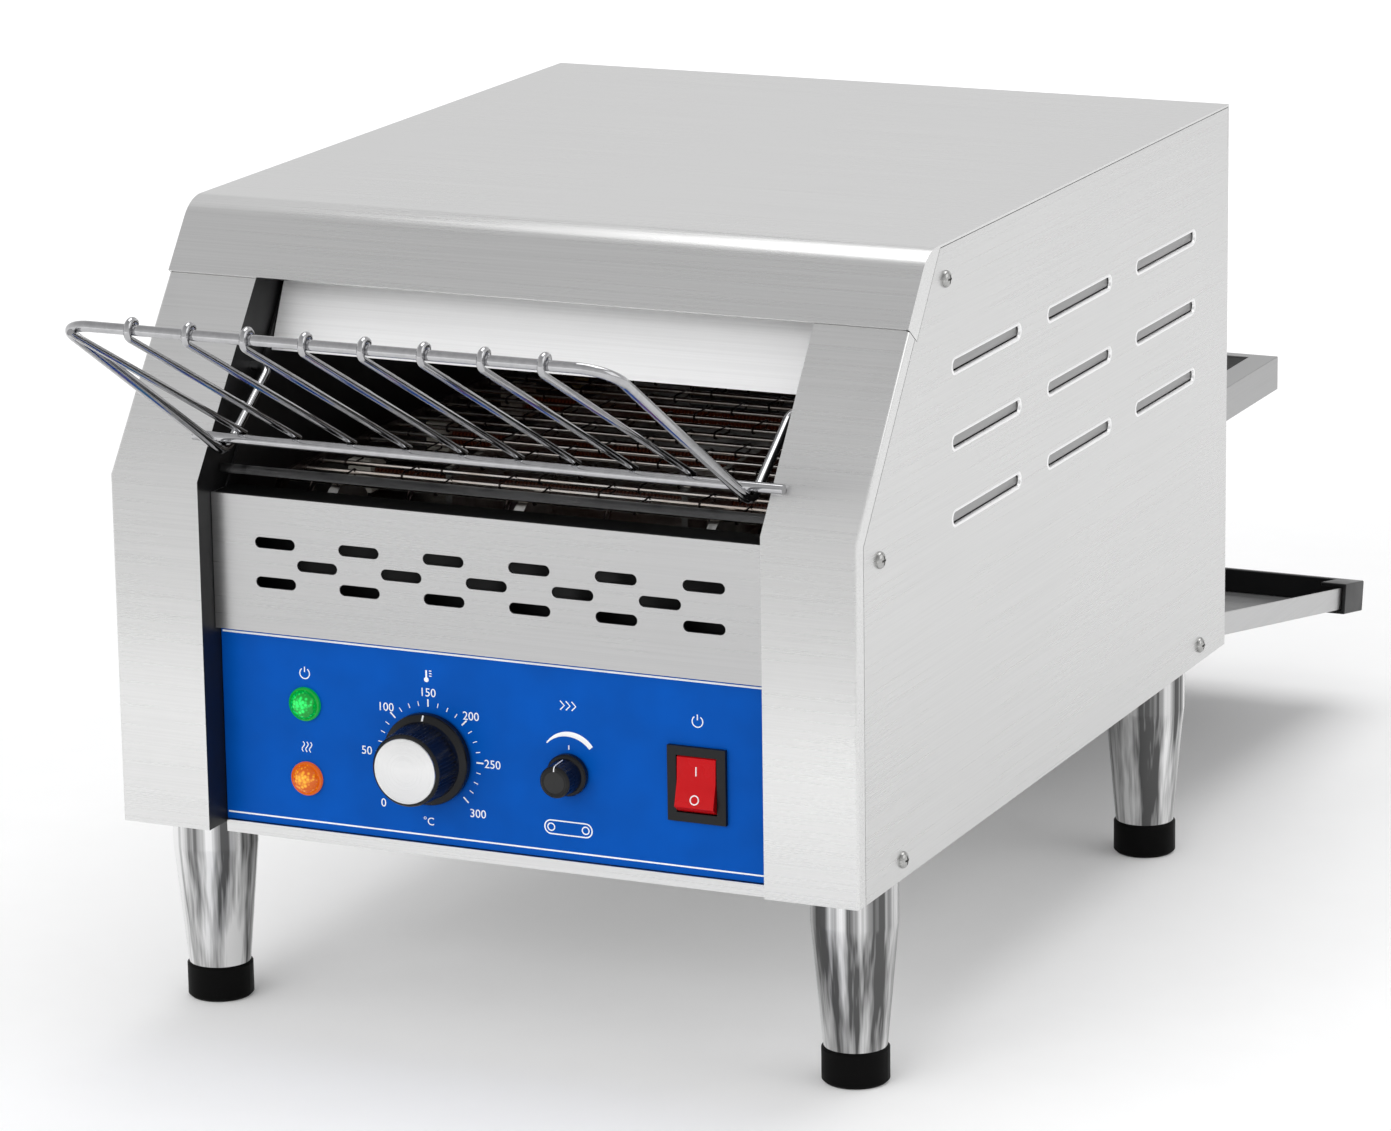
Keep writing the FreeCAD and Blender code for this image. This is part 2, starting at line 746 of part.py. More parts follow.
# temperature dial: skirt, grip and metal face on a flatted shaft
reach = of("dial_reach")
dial_r, grip_r, face_r = of("dial_radius"), of("dial_grip_radius"), of("dial_face_radius")
bore = of("dial_bore")
shaft_end = reach - 8
knob = turned("temperature_knob", (dial_x, face, dial_z), "front",
              [(bore, seam), (dial_r - 1.5, seam), (dial_r, as_length(1.8)), (dial_r, as_length(4.5)),
               (dial_r - 1.8, as_length(6.0)), (grip_r, as_length(6.6)), (grip_r - 1.3, reach - 1.4),
               (grip_r - 1.9, reach - 0.8), (face_r + 0.05, reach - 0.8), (face_r + 0.05, reach - 2.4),
               (as_length(0), reach - 2.4), (as_length(0), shaft_end), (bore, shaft_end)])
keep(knob, "temperature_knob")
knob_face = turned("temperature_knob_face", (dial_x, face, dial_z), "front",
                   [(as_length(0), reach - 2.4), (face_r, reach - 2.4), (face_r, reach - 0.4),
                    (face_r - 0.4, reach), (as_length(0), reach)])
keep(knob_face, "temperature_knob_face")
thermostat_case = block("thermostat_case", (dial_x - 16, face + skin, dial_z - 16),
                        (dial_x + 16, face + skin + 24, dial_z + 16))
thermostat_shaft = rod("thermostat_shaft", (dial_x, face + skin, dial_z), "front",
                       bore - of("shaft_play"), skin + shaft_end - 0.1)
together("thermostat", [thermostat_case, thermostat_shaft])

speed_r, speed_reach, speed_bore = of("speed_radius"), of("speed_reach"), of("speed_bore")
speed = turned("speed_knob", (speed_x, face, speed_z), "front",
               [(speed_bore, seam), (speed_r, seam), (speed_r, as_length(3.4)), (speed_r - 1.6, as_length(4.4)),
                (speed_r - 2.2, speed_reach - 1.2), (speed_r - 3.2, speed_reach), (as_length(0), speed_reach),
                (as_length(0), speed_reach - 4), (speed_bore, speed_reach - 4)])
keep(speed, "speed_knob")
speed_case = rod("speed_case", (speed_x, face + skin, speed_z), "back", as_length(10), as_length(11))
speed_shaft = rod("speed_shaft", (speed_x, face + skin, speed_z), "front", speed_bore - of("shaft_play"),
                  skin + speed_reach - 4.1)
speed_board = block("speed_board_plate", (speed_x - 24, face + skin + 11, speed_z - 22),
                    (speed_x + 24, face + skin + 12.6, speed_z + 22))
together("speed_control", [speed_case, speed_shaft, speed_board])

# rocker switch: a frame in the panel and a rocker on a cross pin
rock_w, rock_h = of("rocker_width"), of("rocker_height")
frame_front = face - 2.2
pin_y = frame_front + 7
rocker_r = 14.2
window = [rectangle((switch_x, switch_z), rock_w + 0.8, rock_h + 1.4)]
hollow = [rectangle((switch_x, switch_z), rock_w + 0.8, 2 * rocker_r + 0.8)]
switch_frame = prism("switch_frame", "XZ", [
    (frame_front, face, [rectangle((switch_x, switch_z), frame_w, frame_h)]),
    (face, face + 22, [rectangle((switch_x, switch_z), frame_w - 3.8, frame_h - 3.8)]),
], [("XZ", frame_front - 1, frame_front + 1.3, window),
    ("XZ", frame_front + 1.2, face + 13, hollow)])
add_pocket(switch_frame, "YZ", switch_x - rock_w / 2 - 1.9, switch_x + rock_w / 2 + 1.9,
           [("circle", pin_y, switch_z, 1.55)])
keep(switch_frame, "switch_frame")


def rocker_spot(degrees, reach=rocker_r):
    # angles are counted from straight out of the panel, upwards
    turn = math.radians(degrees)
    return (pin_y - reach * math.cos(turn), switch_z + reach * math.sin(turn))


# the upper end is pressed in, which is the switched-on position
rocker_outline = [rocker_spot(angle) for angle in (98, 84, 72, 61.4)] + [rocker_spot(9, 7.4)]
rocker_outline += [rocker_spot(angle) for angle in (-43.4, -55, -67, -80)]
rocker_outline += [(pin_y + 5, switch_z - 5), (pin_y + 5, switch_z + 5)]
rocker = prism("switch_rocker", "YZ", [(switch_x - rock_w / 2, switch_x + rock_w / 2, [rocker_outline])])
add_pad(rocker, "YZ", switch_x - rock_w / 2 - 1.6, switch_x + rock_w / 2 + 1.6, [("circle", pin_y, switch_z, 1.5)])
keep(rocker, "switch_rocker")

# legs on rubber feet
leg_x = half - of("leg_inset")
foot_h = of("foot_height")
foot_r, leg_foot = of("foot_radius"), of("leg_foot_radius")
spigot = leg_foot - 2.1
legs = []
feet = []
for index, (side, row) in enumerate([(side, row) for side in (-1, 1) for row in leg_rows]):
    spot = (side * leg_x, row, as_length(0))
    legs.append(turned("leg_{}".format(index), spot, "up",
                       [(0, 5), (spigot, 5), (spigot, foot_h), (leg_foot, foot_h),
                        (of("leg_radius"), bottom - of("leg_collar")), (of("leg_radius"), bottom), (0, bottom)]))
    feet.append(turned("foot_{}".format(index), spot, "up",
                       [(0, 0), (foot_r - 1.2, 0), (foot_r, 1.2), (foot_r, foot_h - 1.2), (foot_r - 1.0, foot_h),
                        (spigot + 0.05, foot_h), (spigot + 0.05, 5), (0, 5)]))
together("legs", legs)
together("rubber_feet", feet)

# pan-head screws in the side panels, and the ones under the base beside each leg
head_r, shank_r = of("screw_head"), of("screw_shank")
pan = [(0, 0), (head_r, 0), (head_r, 0.7), (head_r - 0.7, 1.7), (head_r - 2.2, 2.3), (0, 2.4)]
side_screws = []
for word, side in sides:
    for index, (y, z) in enumerate(screw_spots):
        tag = "{}_{}".format(word, index)
        facing = "right" if side > 0 else "left"
        head = turned("screw_head_" + tag, (side * half, y, z), facing, pan)
        shank = rod("screw_shank_" + tag, (side * (half - 5), y, z), facing, shank_r, 5)
        screw = doc.addObject("Part::Fuse", "screw_" + tag)
        screw.Base = head
        screw.Tool = shank
        side_screws.append(screw)
together("side_screws", side_screws)
base_screws = []
for index, (side, row) in enumerate([(side, row) for side in (-1, 1) for row in leg_rows]):
    base_screws.append(turned("base_screw_{}".format(index), (side * under_x, row + 28, bottom - 2.2), "up",
                              [(0, 0), (head_r - 1.6, 0), (head_r - 0.6, 1), (head_r - 0.6, 2.2), (shank_r, 2.2),
                               (shank_r, 7), (0, 7)]))
together("base_screws", base_screws)


def vector(x, y, z):
    return FreeCAD.Vector(num(x), num(y), num(z))


def wire_path(points, bends):
    # straight runs joined by tangent arcs
    edges = []
    here = points[0]
    for index in range(1, len(points) - 1):
        corner = points[index]
        back_way = (points[index - 1] - corner).normalize()
        ahead = (points[index + 1] - corner).normalize()
        opening = back_way.getAngle(ahead)
        reach = bends[index - 1] / math.tan(opening / 2)
        start = corner + back_way * reach
        end = corner + ahead * reach
        centre_way = (back_way + ahead).normalize()
        middle = corner + centre_way * (bends[index - 1] / math.sin(opening / 2) - bends[index - 1])
        edges.append(Part.LineSegment(here, start).toShape())
        edges.append(Part.Arc(start, middle, end).toShape())
        here = end
    edges.append(Part.LineSegment(here, points[-1]).toShape())
    return Part.Wire(edges)


def bent_rod(points, bends, radius):
    path = wire_path(points, bends)
    way = (points[1] - points[0]).normalize()
    section = Part.Wire([Part.Circle(points[0], way, radius).toShape()])
    return path.makePipeShell([section], True, False)


# feed rack: one bent rod, a cross rod that rests on the posts, and nine hooked wires
frame_half = []
rack_half = inner_x - of("rack_side_gap")
pin_end = inner_x + of("rack_pin_overlap")
for x, y, z in ((pin_end, pivot_y, pivot_z), (rack_half, pivot_y, pivot_z),
                (rack_half, elbow_y, elbow_z), (rack_half, rail_y, rail_z)):
    frame_half.append((x, y, z))
frame_points = [vector(-x, y, z) for x, y, z in frame_half]
frame_points += [vector(x, y, z) for x, y, z in reversed(frame_half)]
corner_bends = [5.0, num(of("rack_elbow")), num(of("rack_corner"))]
frame_rod = bent_rod(frame_points, corner_bends + corner_bends[::-1], num(of("rack_rod")))
solid_feature("rack_frame_rod", frame_rod)
rest_half = inner_x + of("rack_rest_overlap")
keep(rod("rack_cross_rod", (-rest_half, rest_y, rest_z), "right", of("rack_rod"), 2 * rest_half), "rack_cross_rod")
rack_wire_pitch = (2 * rack_half - of("rack_wire_margin") - of("rack_wire_end_gap")) / 8
wires = []
tail = 3.5
for index in range(9):
    x = num(of("rack_wire_margin") - rack_half + index * rack_wire_pitch)
    low = vector(x, wire_low[0] - wire_dy / wire_run * tail, wire_low[1] - wire_dz / wire_run * tail)
    turn = vector(x, hook_y, hook_z)
    tip = vector(x, hook_y, hook_z + of("rack_hook_rise"))
    wires.append(bent_rod([low, turn, tip], [3.0], num(of("rack_wire"))))
solid_feature("rack_wires", Part.makeCompound(wires))

# chamber: dark side liners, reflectors, baffle and feed lip
liner_out = inner_x - 0.5
chamber = liner_out - skin
span = chamber - seam
axle_z = of("belt_height") - of("pitch_radius")
axles = (of("drive_setback"), of("body_depth") - of("idler_inset"))
bush = of("bush_radius")
liner_depth = of("liner_depth")
liner_top = of("body_top") - of("liner_top_drop")
liner_end = of("body_depth") - of("liner_end_inset")
liner_outline = [(liner_depth, floor_top), bent(liner_depth), slanted_at(liner_top, liner_depth),
                 (liner_end, liner_top), (liner_end, floor_top)]
for word, side in sides:
    low, high = across(side, chamber, liner_out)
    foot_low, foot_high = across(side, liner_out, liner_out + 9)
    holes = [("circle", axle, axle_z, bush + 0.05) for axle in axles]
    if side > 0:
        holes.append(("circle", of("motor_setback"), of("motor_height"), 6.5))
    liner = prism("chamber_liner_" + word, "YZ", [
        (low, high, [liner_outline]),
        (foot_low, foot_high, [[(60, floor_top), (liner_end, floor_top), (liner_end, floor_top + skin),
                                (60, floor_top + skin)]]),
    ], [("YZ", low - 1, high + 1, holes)])
    keep(liner, "chamber_liner_" + word)

roof_front = slanted_at(liner_top, liner_depth)[0] + 4
roof_side = [(roof_front, liner_top - 12), (liner_end, liner_top - 12), (liner_end, liner_top),
             (roof_front, liner_top)]
roof_plate = [(roof_front, liner_top - skin), (liner_end, liner_top - skin), (liner_end, liner_top),
              (roof_front, liner_top)]
keep(prism("chamber_roof", "YZ", [(-span, span, [roof_plate]), (-span, -span + skin, [roof_side]),
                                  (span - skin, span, [roof_side])]), "chamber_roof")

baffle_low, baffle_y = of("body_top") - of("baffle_drop"), of("baffle_setback")
baffle_top = cover_inner - seam
lean_y = 13.0
keep(prism("upper_baffle", "YZ", [(-span, span, [[
    (baffle_y, baffle_low), (baffle_y + 6, baffle_low), (baffle_y + 6, baffle_low + skin),
    (baffle_y + skin, baffle_low + skin), (baffle_y + lean_y + skin, liner_top - 4),
    (baffle_y + lean_y + skin + 14, liner_top + 22), (baffle_y + lean_y + skin + 14, baffle_top - skin),
    (baffle_y + lean_y + 40, baffle_top - skin), (baffle_y + lean_y + 40, baffle_top),
    (baffle_y + lean_y + 14, baffle_top), (baffle_y + lean_y + 14, liner_top + 22.3),
    (baffle_y + lean_y, liner_top - 3.7)]])]), "upper_baffle")

lip_z = of("belt_height")
keep(prism("feed_lip", "YZ", [(-span, span, [[
    (plate + 5, lip_z + 7.5), (plate + 8, lip_z + 11), (plate + 34, lip_z + 4), (plate + 34, lip_z + 2.8),
    (plate + 8.2, lip_z + 9.6), (plate + 6, lip_z + 7)]])]), "feed_lip")

belt_rod = of("belt_rod")
reflector_z = axle_z - 16
reflector_front, reflector_end = axles[0] + 37, axles[1] - 35
keep(prism("lower_reflector", "YZ", [(-span, span, [[
    (reflector_front, reflector_z), (reflector_end, reflector_z), (reflector_end, reflector_z + skin),
    (reflector_front, reflector_z + skin)]])]), "lower_reflector")
rail_high = of("belt_height") - belt_rod - 0.35
heater_pitch = (axles[1] - of("heater_first") - of("heater_end_gap")) / 2
heater_rows = [of("heater_first") + index * heater_pitch for index in range(3)]
heater_low, heater_high = of("heater_lower_height"), of("body_top") - of("heater_upper_drop")
heater_r = of("heater_radius")
rails = []
for index, middle in enumerate((-60, 60)):
    rails.append(prism("belt_rail_{}".format(index), "YZ", [(middle - 1.5, middle + 1.5, [[
        (reflector_front, reflector_z + skin), (reflector_end, reflector_z + skin), (reflector_end, rail_high),
        (reflector_front, rail_high)]])],
        [("YZ", middle - 2, middle + 2, [("circle", y, heater_low, heater_r + 2) for y in heater_rows])]))
together("belt_rails", rails)

# quartz heaters and their ceramic end blocks
block_depth = 12
tube_half = span - block_depth
for word, height in (("upper", heater_high), ("lower", heater_low)):
    tubes = [rod("heater_{}_{}".format(word, index), (-tube_half, y, height), "right", heater_r, 2 * tube_half)
             for index, y in enumerate(heater_rows)]
    together("heaters_" + word, tubes)
holders = []
for index, (y, height) in enumerate([(y, z) for y in heater_rows for z in (heater_high, heater_low)]):
    for word, side in sides:
        low, high = across(side, tube_half, span)
        holders.append(block("holder_{}_{}".format(word, index), (low, y - 8, height - 8), (high, y + 8, height + 8)))
together("heater_holders", holders)

# wire belt: cross rods round two rollers, held at the edges by link bands
pitch_r = num(of("pitch_radius"))
drive_y, idler_y, level = num(axles[0]), num(axles[1]), num(axle_z)
straight = idler_y - drive_y
loop = 2 * straight + 2 * math.pi * pitch_r
rod_count = round(loop / num(of("belt_pitch")))
belt_half = num(span - of("belt_side_gap"))


def round_loop(travel, centres, radius):
    # the spot at this travel round two equal rollers
    length = centres[1] - centres[0]
    arc = math.pi * radius
    if travel < length:
        return centres[0] + travel, level + radius
    if travel < length + arc:
        turn = (travel - length) / radius
        return centres[1] + radius * math.sin(turn), level + radius * math.cos(turn)
    if travel < 2 * length + arc:
        return centres[1] - (travel - length - arc), level - radius
    turn = (travel - 2 * length - arc) / radius
    return centres[0] - radius * math.sin(turn), level - radius * math.cos(turn)


rod_spots = [round_loop((index + 0.5) * loop / rod_count, (drive_y, idler_y), pitch_r) for index in range(rod_count)]
along_x = FreeCAD.Vector(1, 0, 0)
belt_rods = [Part.makeCylinder(num(belt_rod), 2 * belt_half, FreeCAD.Vector(-belt_half, y, z), along_x)
             for y, z in rod_spots]
solid_feature("belt_rods", Part.makeCompound(belt_rods))


def band(x, first, second):
    # closed outline round two circles given as (y, z, radius), in the plane at x
    gap_y, gap_z = second[0] - first[0], second[1] - first[1]
    distance = math.hypot(gap_y, gap_z)
    heading = math.atan2(gap_z, gap_y)
    swing = math.acos((first[2] - second[2]) / distance)

    def rim(circle, angle):
        return FreeCAD.Vector(x, circle[0] + circle[2] * math.cos(angle), circle[1] + circle[2] * math.sin(angle))

    upper, lower = heading + swing, heading - swing
    edges = [
        Part.LineSegment(rim(first, lower), rim(second, lower)).toShape(),
        Part.Arc(rim(second, lower), rim(second, heading), rim(second, upper)).toShape(),
        Part.LineSegment(rim(second, upper), rim(first, upper)).toShape(),
        Part.Arc(rim(first, upper), rim(first, heading + math.pi), rim(first, lower)).toShape(),
    ]
    return Part.Wire(edges)


def ring_plate(x, width, first, second, thick, holes=()):
    outer = band(x, first[:2] + (first[2] + thick,), second[:2] + (second[2] + thick,))
    inner = band(x, first[:2] + (first[2] - thick,), second[:2] + (second[2] - thick,))
    wires = [outer, inner] + list(holes)
    return Part.makeFace(wires, "Part::FaceMakerBullseye").extrude(FreeCAD.Vector(width, 0, 0))


link_bands = []
for x in (-belt_half + 3.5, belt_half - 6.0):
    holes = [Part.Wire([Part.Circle(FreeCAD.Vector(x, y, z), along_x, num(belt_rod) + 0.03).toShape()])
             for y, z in rod_spots]
    link_bands.append(ring_plate(x, 2.5, (drive_y, level, pitch_r), (idler_y, level, pitch_r), 2.6, holes))
solid_feature("belt_edge_links", Part.makeCompound(link_bands))

# shafts with belt wheels, and the bushes in the liners
shaft_r = of("shaft_radius")
wheel_r = of("pitch_radius") - belt_rod - 0.35
shaft_half = liner_out + 7
chain_x = liner_out + of("chain_stand_off")
chain_w = of("chain_width")


def wheel_profile(end):
    points = [(0, -shaft_half), (shaft_r, -shaft_half)]
    for middle in (-95, 0, 95):
        points += [(shaft_r, middle - 2.5), (wheel_r, middle - 2.5), (wheel_r, middle + 2.5),
                   (shaft_r, middle + 2.5)]
    return points + [(shaft_r, end), (0, end)]


drive_end = chain_x + chain_w / 2 + 4
keep(turned("drive_shaft", (as_length(0), axles[0], axle_z), "right", wheel_profile(drive_end)), "drive_shaft")
keep(turned("idler_shaft", (as_length(0), axles[1], axle_z), "right", wheel_profile(shaft_half)), "idler_shaft")
bushes = []
for word, side in sides:
    for index, axle in enumerate(axles):
        facing = "right" if side > 0 else "left"
        bore_r = shaft_r + of("shaft_play")
        bushes.append(turned("bush_{}_{}".format(word, index), (side * (chamber - 3), axle, axle_z), facing,
                             [(bore_r, 0), (bush + 2, 0), (bush + 2, 2.9), (bush, 2.9), (bush, 7), (bore_r, 7)]))
together("shaft_bushes", bushes)

# chain drive: wheel on the drive shaft, gearmotor between the liners, chain on the right
drive_pitch, motor_pitch = of("drive_pitch_radius"), of("motor_pitch_radius")
motor_y, motor_z = of("motor_setback"), of("motor_height")
low_x, high_x = chain_x - chain_w / 2, chain_x + chain_w / 2
keep(turned("drive_sprocket", (as_length(0), axles[0], axle_z), "right",
            [(shaft_r + 0.02, low_x - 3), (10, low_x - 3), (10, low_x + 1), (drive_pitch - 2.6, low_x + 1),
             (drive_pitch - 2.6, high_x - 1), (shaft_r + 0.02, high_x - 1)]), "drive_sprocket")
keep(turned("motor_sprocket", (as_length(0), motor_y, motor_z), "right",
            [(0, span - 12), (shaft_r, span - 12), (shaft_r, low_x + 1), (motor_pitch - 2.6, low_x + 1),
             (motor_pitch - 2.6, high_x - 1), (shaft_r, high_x - 1), (shaft_r, high_x + 2), (0, high_x + 2)]),
     "motor_sprocket")
chain = ring_plate(num(low_x), num(chain_w), (num(axles[0]), level, num(drive_pitch)),
                   (num(motor_y), num(motor_z), num(motor_pitch)), 2.3)
solid_feature("drive_chain", chain)
gear_front = span - 45
gearbox_case = block("gearbox_case", (gear_front, motor_y - 30, motor_z - 30), (span, motor_y + 30, motor_z + 30))
gearbox_bore = rod("gearbox_bore", (span - 12.2, motor_y, motor_z), "right", shaft_r + of("shaft_play"), 14)
keep(less("gearbox", gearbox_case, [gearbox_bore]), "gearbox")
motor_can = rod("motor", (gear_front, motor_y, motor_z), "left", of("motor_radius"), 72)
keep(motor_can, "motor")
keep(block("motor_bracket", (gear_front + 4, motor_y - 26, floor_top), (span - 4, motor_y + 26, motor_z - 30)),
     "motor_bracket")
keep(block("terminal_block", (-span + 17.6, 70, floor_top), (-span + 73.6, 90, floor_top + 22)), "terminal_block")

# cooling fan on the base
fan_x, fan_y = of("fan_across"), of("fan_setback")
fan_half, fan_deep = of("fan_size") / 2, of("fan_depth")
fan_box = block("fan_box", (fan_x - fan_half, fan_y - fan_half, floor_top),
                (fan_x + fan_half, fan_y + fan_half, floor_top + fan_deep))
fan_bore = rod("fan_bore", (fan_x, fan_y, floor_top - 1), "up", fan_half - 3, fan_deep + 2)
fan_ring = less("fan_ring", fan_box, [fan_bore])
fan_bar = block("fan_bar", (fan_x - fan_half + 1, fan_y - 4, floor_top),
                (fan_x + fan_half - 1, fan_y + 4, floor_top + 3))
fan_pin = rod("fan_pin", (fan_x, fan_y, floor_top), "up", 2, 14)
fan_frame = doc.addObject("Part::MultiFuse", "fan_frame")
fan_frame.Shapes = [fan_ring, fan_bar, fan_pin]
keep(fan_frame, "fan_frame")
blade_reach = num(fan_half) - 5
hub = Part.makeCylinder(15, 16).cut(Part.makeCylinder(2.05, 11.2))
for index in range(7):
    blade = Part.makeBox(blade_reach - 14, 1.2, 16)
    blade.translate(FreeCAD.Vector(14, -0.6, -8))
    blade.rotate(FreeCAD.Vector(), along_x, 48)
    blade.translate(FreeCAD.Vector(0, 0, 8))
    blade.rotate(FreeCAD.Vector(), FreeCAD.Vector(0, 0, 1), index * 360 / 7)
    hub = hub.fuse(blade)
rotor = hub.removeSplitter()
rotor.translate(vector(fan_x, fan_y, floor_top + 5))
solid_feature("fan_rotor", rotor)

# cable gland in the back panel
gland = turned("cable_gland", (gland_spot[0], back_edge - 9, gland_spot[1]), "back",
               [(4, 0), (8, 0), (8, 9.3), (11.5, 9.3), (11.5, 13), (8.5, 17), (8, 24), (4, 24)])
keep(gland, "cable_gland")

# level shelf on the back panel, with a dark floor
depth_back = of("body_depth")
wall_y = back_edge + seam
shelf_top, shelf_low = of("shelf_top"), of("shelf_top") - of("shelf_height")
shelf_end = depth_back + of("shelf_reach")
shelf_box = [(wall_y, shelf_low), (shelf_end, shelf_low), (shelf_end, shelf_top), (wall_y, shelf_top)]
shelf_edge = [(wall_y, shelf_top - skin), (shelf_end, shelf_top - skin), (shelf_end, shelf_top),
              (wall_y, shelf_top)]
shelf_pads = [
    (-rear_half, rear_half, [[(wall_y, shelf_low), (wall_y + skin, shelf_low), (wall_y + skin, shelf_top),
                              (wall_y, shelf_top)]]),
    (-rear_half, rear_half, [[(shelf_end - skin, shelf_low), (shelf_end, shelf_low), (shelf_end, shelf_top),
                              (shelf_end - 6, shelf_top), (shelf_end - 6, shelf_top - skin),
                              (shelf_end - skin, shelf_top - skin)]]),
]
for side in (-1, 1):
    shelf_pads.append(across(side, rear_half - skin, rear_half) + ([shelf_box],))
    shelf_pads.append(across(side, rear_half - 14, rear_half) + ([shelf_edge],))
keep(prism("rear_shelf_rim", "YZ", shelf_pads), "rear_shelf_rim")
keep(prism("rear_shelf_floor", "YZ", [(-rear_half + skin, rear_half - skin, [[
    (wall_y + skin, shelf_low), (shelf_end - skin, shelf_low), (shelf_end - skin, shelf_low + skin),
    (wall_y + skin, shelf_low + skin)]])]), "rear_shelf_floor")

# sloping exit: chute between the liners, runners on the base, and the tray that slides on them
rail_h = of("tray_rail")


def tray_box(out_low, out_high, down_low, down_high):
    return [tray_point(out_low, down_low), tray_point(out_high, down_low), tray_point(out_high, down_high),
            tray_point(out_low, down_high)]


inside = -of("tray_inside")
chute_out = inside + 8
chute = tray_box(chute_out - of("chute_length"), chute_out, rail_h - 2 * skin - seam, rail_h - skin - seam)
keep(prism("exit_chute", "YZ", [(-span, span, [chute])]), "exit_chute")
runner_low, runner_high = tray_point(inside + 4, rail_h + seam), tray_point(-5, rail_h + seam)
runner_outline = [(runner_low[0], floor_top), (runner_high[0], floor_top), runner_high, runner_low]
runners = [prism("runner_" + word, "YZ", [across(side, rear_half - 14, rear_half - 2) + ([runner_outline],)])
           for word, side in sides]
together("tray_runners", runners)
wall_out = tray_end - 4
tray_pads = [(-rear_half, rear_half, [tray_box(wall_out, wall_out + skin, 0, rail_h)])]
for side in (-1, 1):
    tray_pads.append(across(side, rear_half - skin, rear_half) + ([tray_box(inside, wall_out + skin, 0, rail_h)],))
keep(prism("rear_tray_rim", "YZ", tray_pads), "rear_tray_rim")
keep(prism("rear_tray_floor", "YZ", [(-rear_half + skin, rear_half - skin,
                                      [tray_box(inside, wall_out, rail_h - skin, rail_h)])]), "rear_tray_floor")
over = of("cap_over")
cap_start = tray_end - of("cap_length")
trim_half = rear_half + over
trim_pads = [
    (-trim_half, trim_half, [tray_box(tray_end - 2.5, tray_end, -over, rail_h + over)]),
    (-trim_half, trim_half, [tray_box(wall_out - 1.6, tray_end, -over, -seam)]),
    (-rear_half + skin + seam, rear_half - skin - seam,
     [tray_box(wall_out - 1.6, wall_out - seam, -over, rail_h - skin - seam)]),
]
for side in (-1, 1):
    cheek = across(side, rear_half + seam, trim_half)
    wide = across(side, rear_half - 12, trim_half)
    trim_pads.append(cheek + ([tray_box(cap_start, tray_end, -over, rail_h + over)],))
    trim_pads.append(wide + ([tray_box(cap_start, tray_end, -over, -seam)],))
    trim_pads.append(wide + ([tray_box(cap_start, tray_end, rail_h + seam, rail_h + over)],))
keep(prism("tray_end_trim", "YZ", trim_pads), "tray_end_trim")

doc.recompute()
faults = [item.Label for item in doc.Objects if "Invalid" in item.State or "Error" in item.State]
for piece in pieces:
    if piece.Shape.isNull() or not piece.Shape.isValid() or not piece.Shape.Solids:
        faults.append(piece.Label)
if faults:
    raise ValueError("faulty: " + ", ".join(sorted(set(faults))))
os.makedirs("parts", exist_ok=True)
for piece in pieces:
    piece.Shape.exportStep("parts/{}.step".format(piece.Label))
print(len(pieces), "nodes")
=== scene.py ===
import bmesh
import bpy
import json
import math
from mathutils import Matrix, Vector

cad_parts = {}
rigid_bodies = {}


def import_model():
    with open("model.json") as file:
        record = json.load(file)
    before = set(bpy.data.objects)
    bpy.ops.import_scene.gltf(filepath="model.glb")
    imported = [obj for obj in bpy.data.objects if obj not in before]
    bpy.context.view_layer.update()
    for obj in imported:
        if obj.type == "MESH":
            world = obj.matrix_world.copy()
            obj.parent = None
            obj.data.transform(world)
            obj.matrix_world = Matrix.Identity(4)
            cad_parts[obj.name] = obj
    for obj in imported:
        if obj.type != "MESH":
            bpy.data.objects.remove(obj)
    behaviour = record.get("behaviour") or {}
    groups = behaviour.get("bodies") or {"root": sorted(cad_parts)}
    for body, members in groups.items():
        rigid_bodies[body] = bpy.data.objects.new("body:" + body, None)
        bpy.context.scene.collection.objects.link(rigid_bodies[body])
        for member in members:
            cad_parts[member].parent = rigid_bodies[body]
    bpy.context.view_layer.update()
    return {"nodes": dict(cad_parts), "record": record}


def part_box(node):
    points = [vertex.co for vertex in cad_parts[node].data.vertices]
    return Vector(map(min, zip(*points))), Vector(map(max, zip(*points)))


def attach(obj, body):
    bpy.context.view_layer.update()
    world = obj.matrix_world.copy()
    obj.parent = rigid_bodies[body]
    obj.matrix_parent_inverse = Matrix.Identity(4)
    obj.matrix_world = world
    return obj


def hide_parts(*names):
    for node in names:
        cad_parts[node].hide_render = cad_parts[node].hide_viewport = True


# conveyor toaster, metres, +Z up, front towards -Y
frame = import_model()
nodes = frame["nodes"]
bodyOf = {node: body for body, names in frame["record"]["behaviour"]["bodies"].items() for node in names}
mm = 0.001
forward = (0, -1, 0)
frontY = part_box("front_post_left")[0][1]    # the posts' front face
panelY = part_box("control_panel")[0][1]      # the control panel's front face
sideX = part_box("side_panel_right")[1][0]    # the right side panel's outer face

# what stands on the control panel, as (x, z) in metres
dialSpot = (-0.0335, 0.138)
speedSpot = (0.037, 0.138)
lampSpots = {"lamp_green": (-0.0965, 0.1568), "lamp_amber": (-0.0965, 0.1213)}
print("frame loaded")


# small tools

def rest():
    # object mode with nothing selected
    if bpy.context.object and bpy.context.object.mode != "OBJECT":
        bpy.ops.object.mode_set(mode="OBJECT")
    bpy.ops.object.select_all(action="DESELECT")


def makeActive(piece):
    rest()
    piece.select_set(True)
    bpy.context.view_layer.objects.active = piece


def editAll(piece):
    # edit mode with every corner selected
    makeActive(piece)
    bpy.ops.object.mode_set(mode="EDIT")
    bpy.ops.mesh.select_mode(type="VERT")
    bpy.ops.mesh.select_all(action="SELECT")


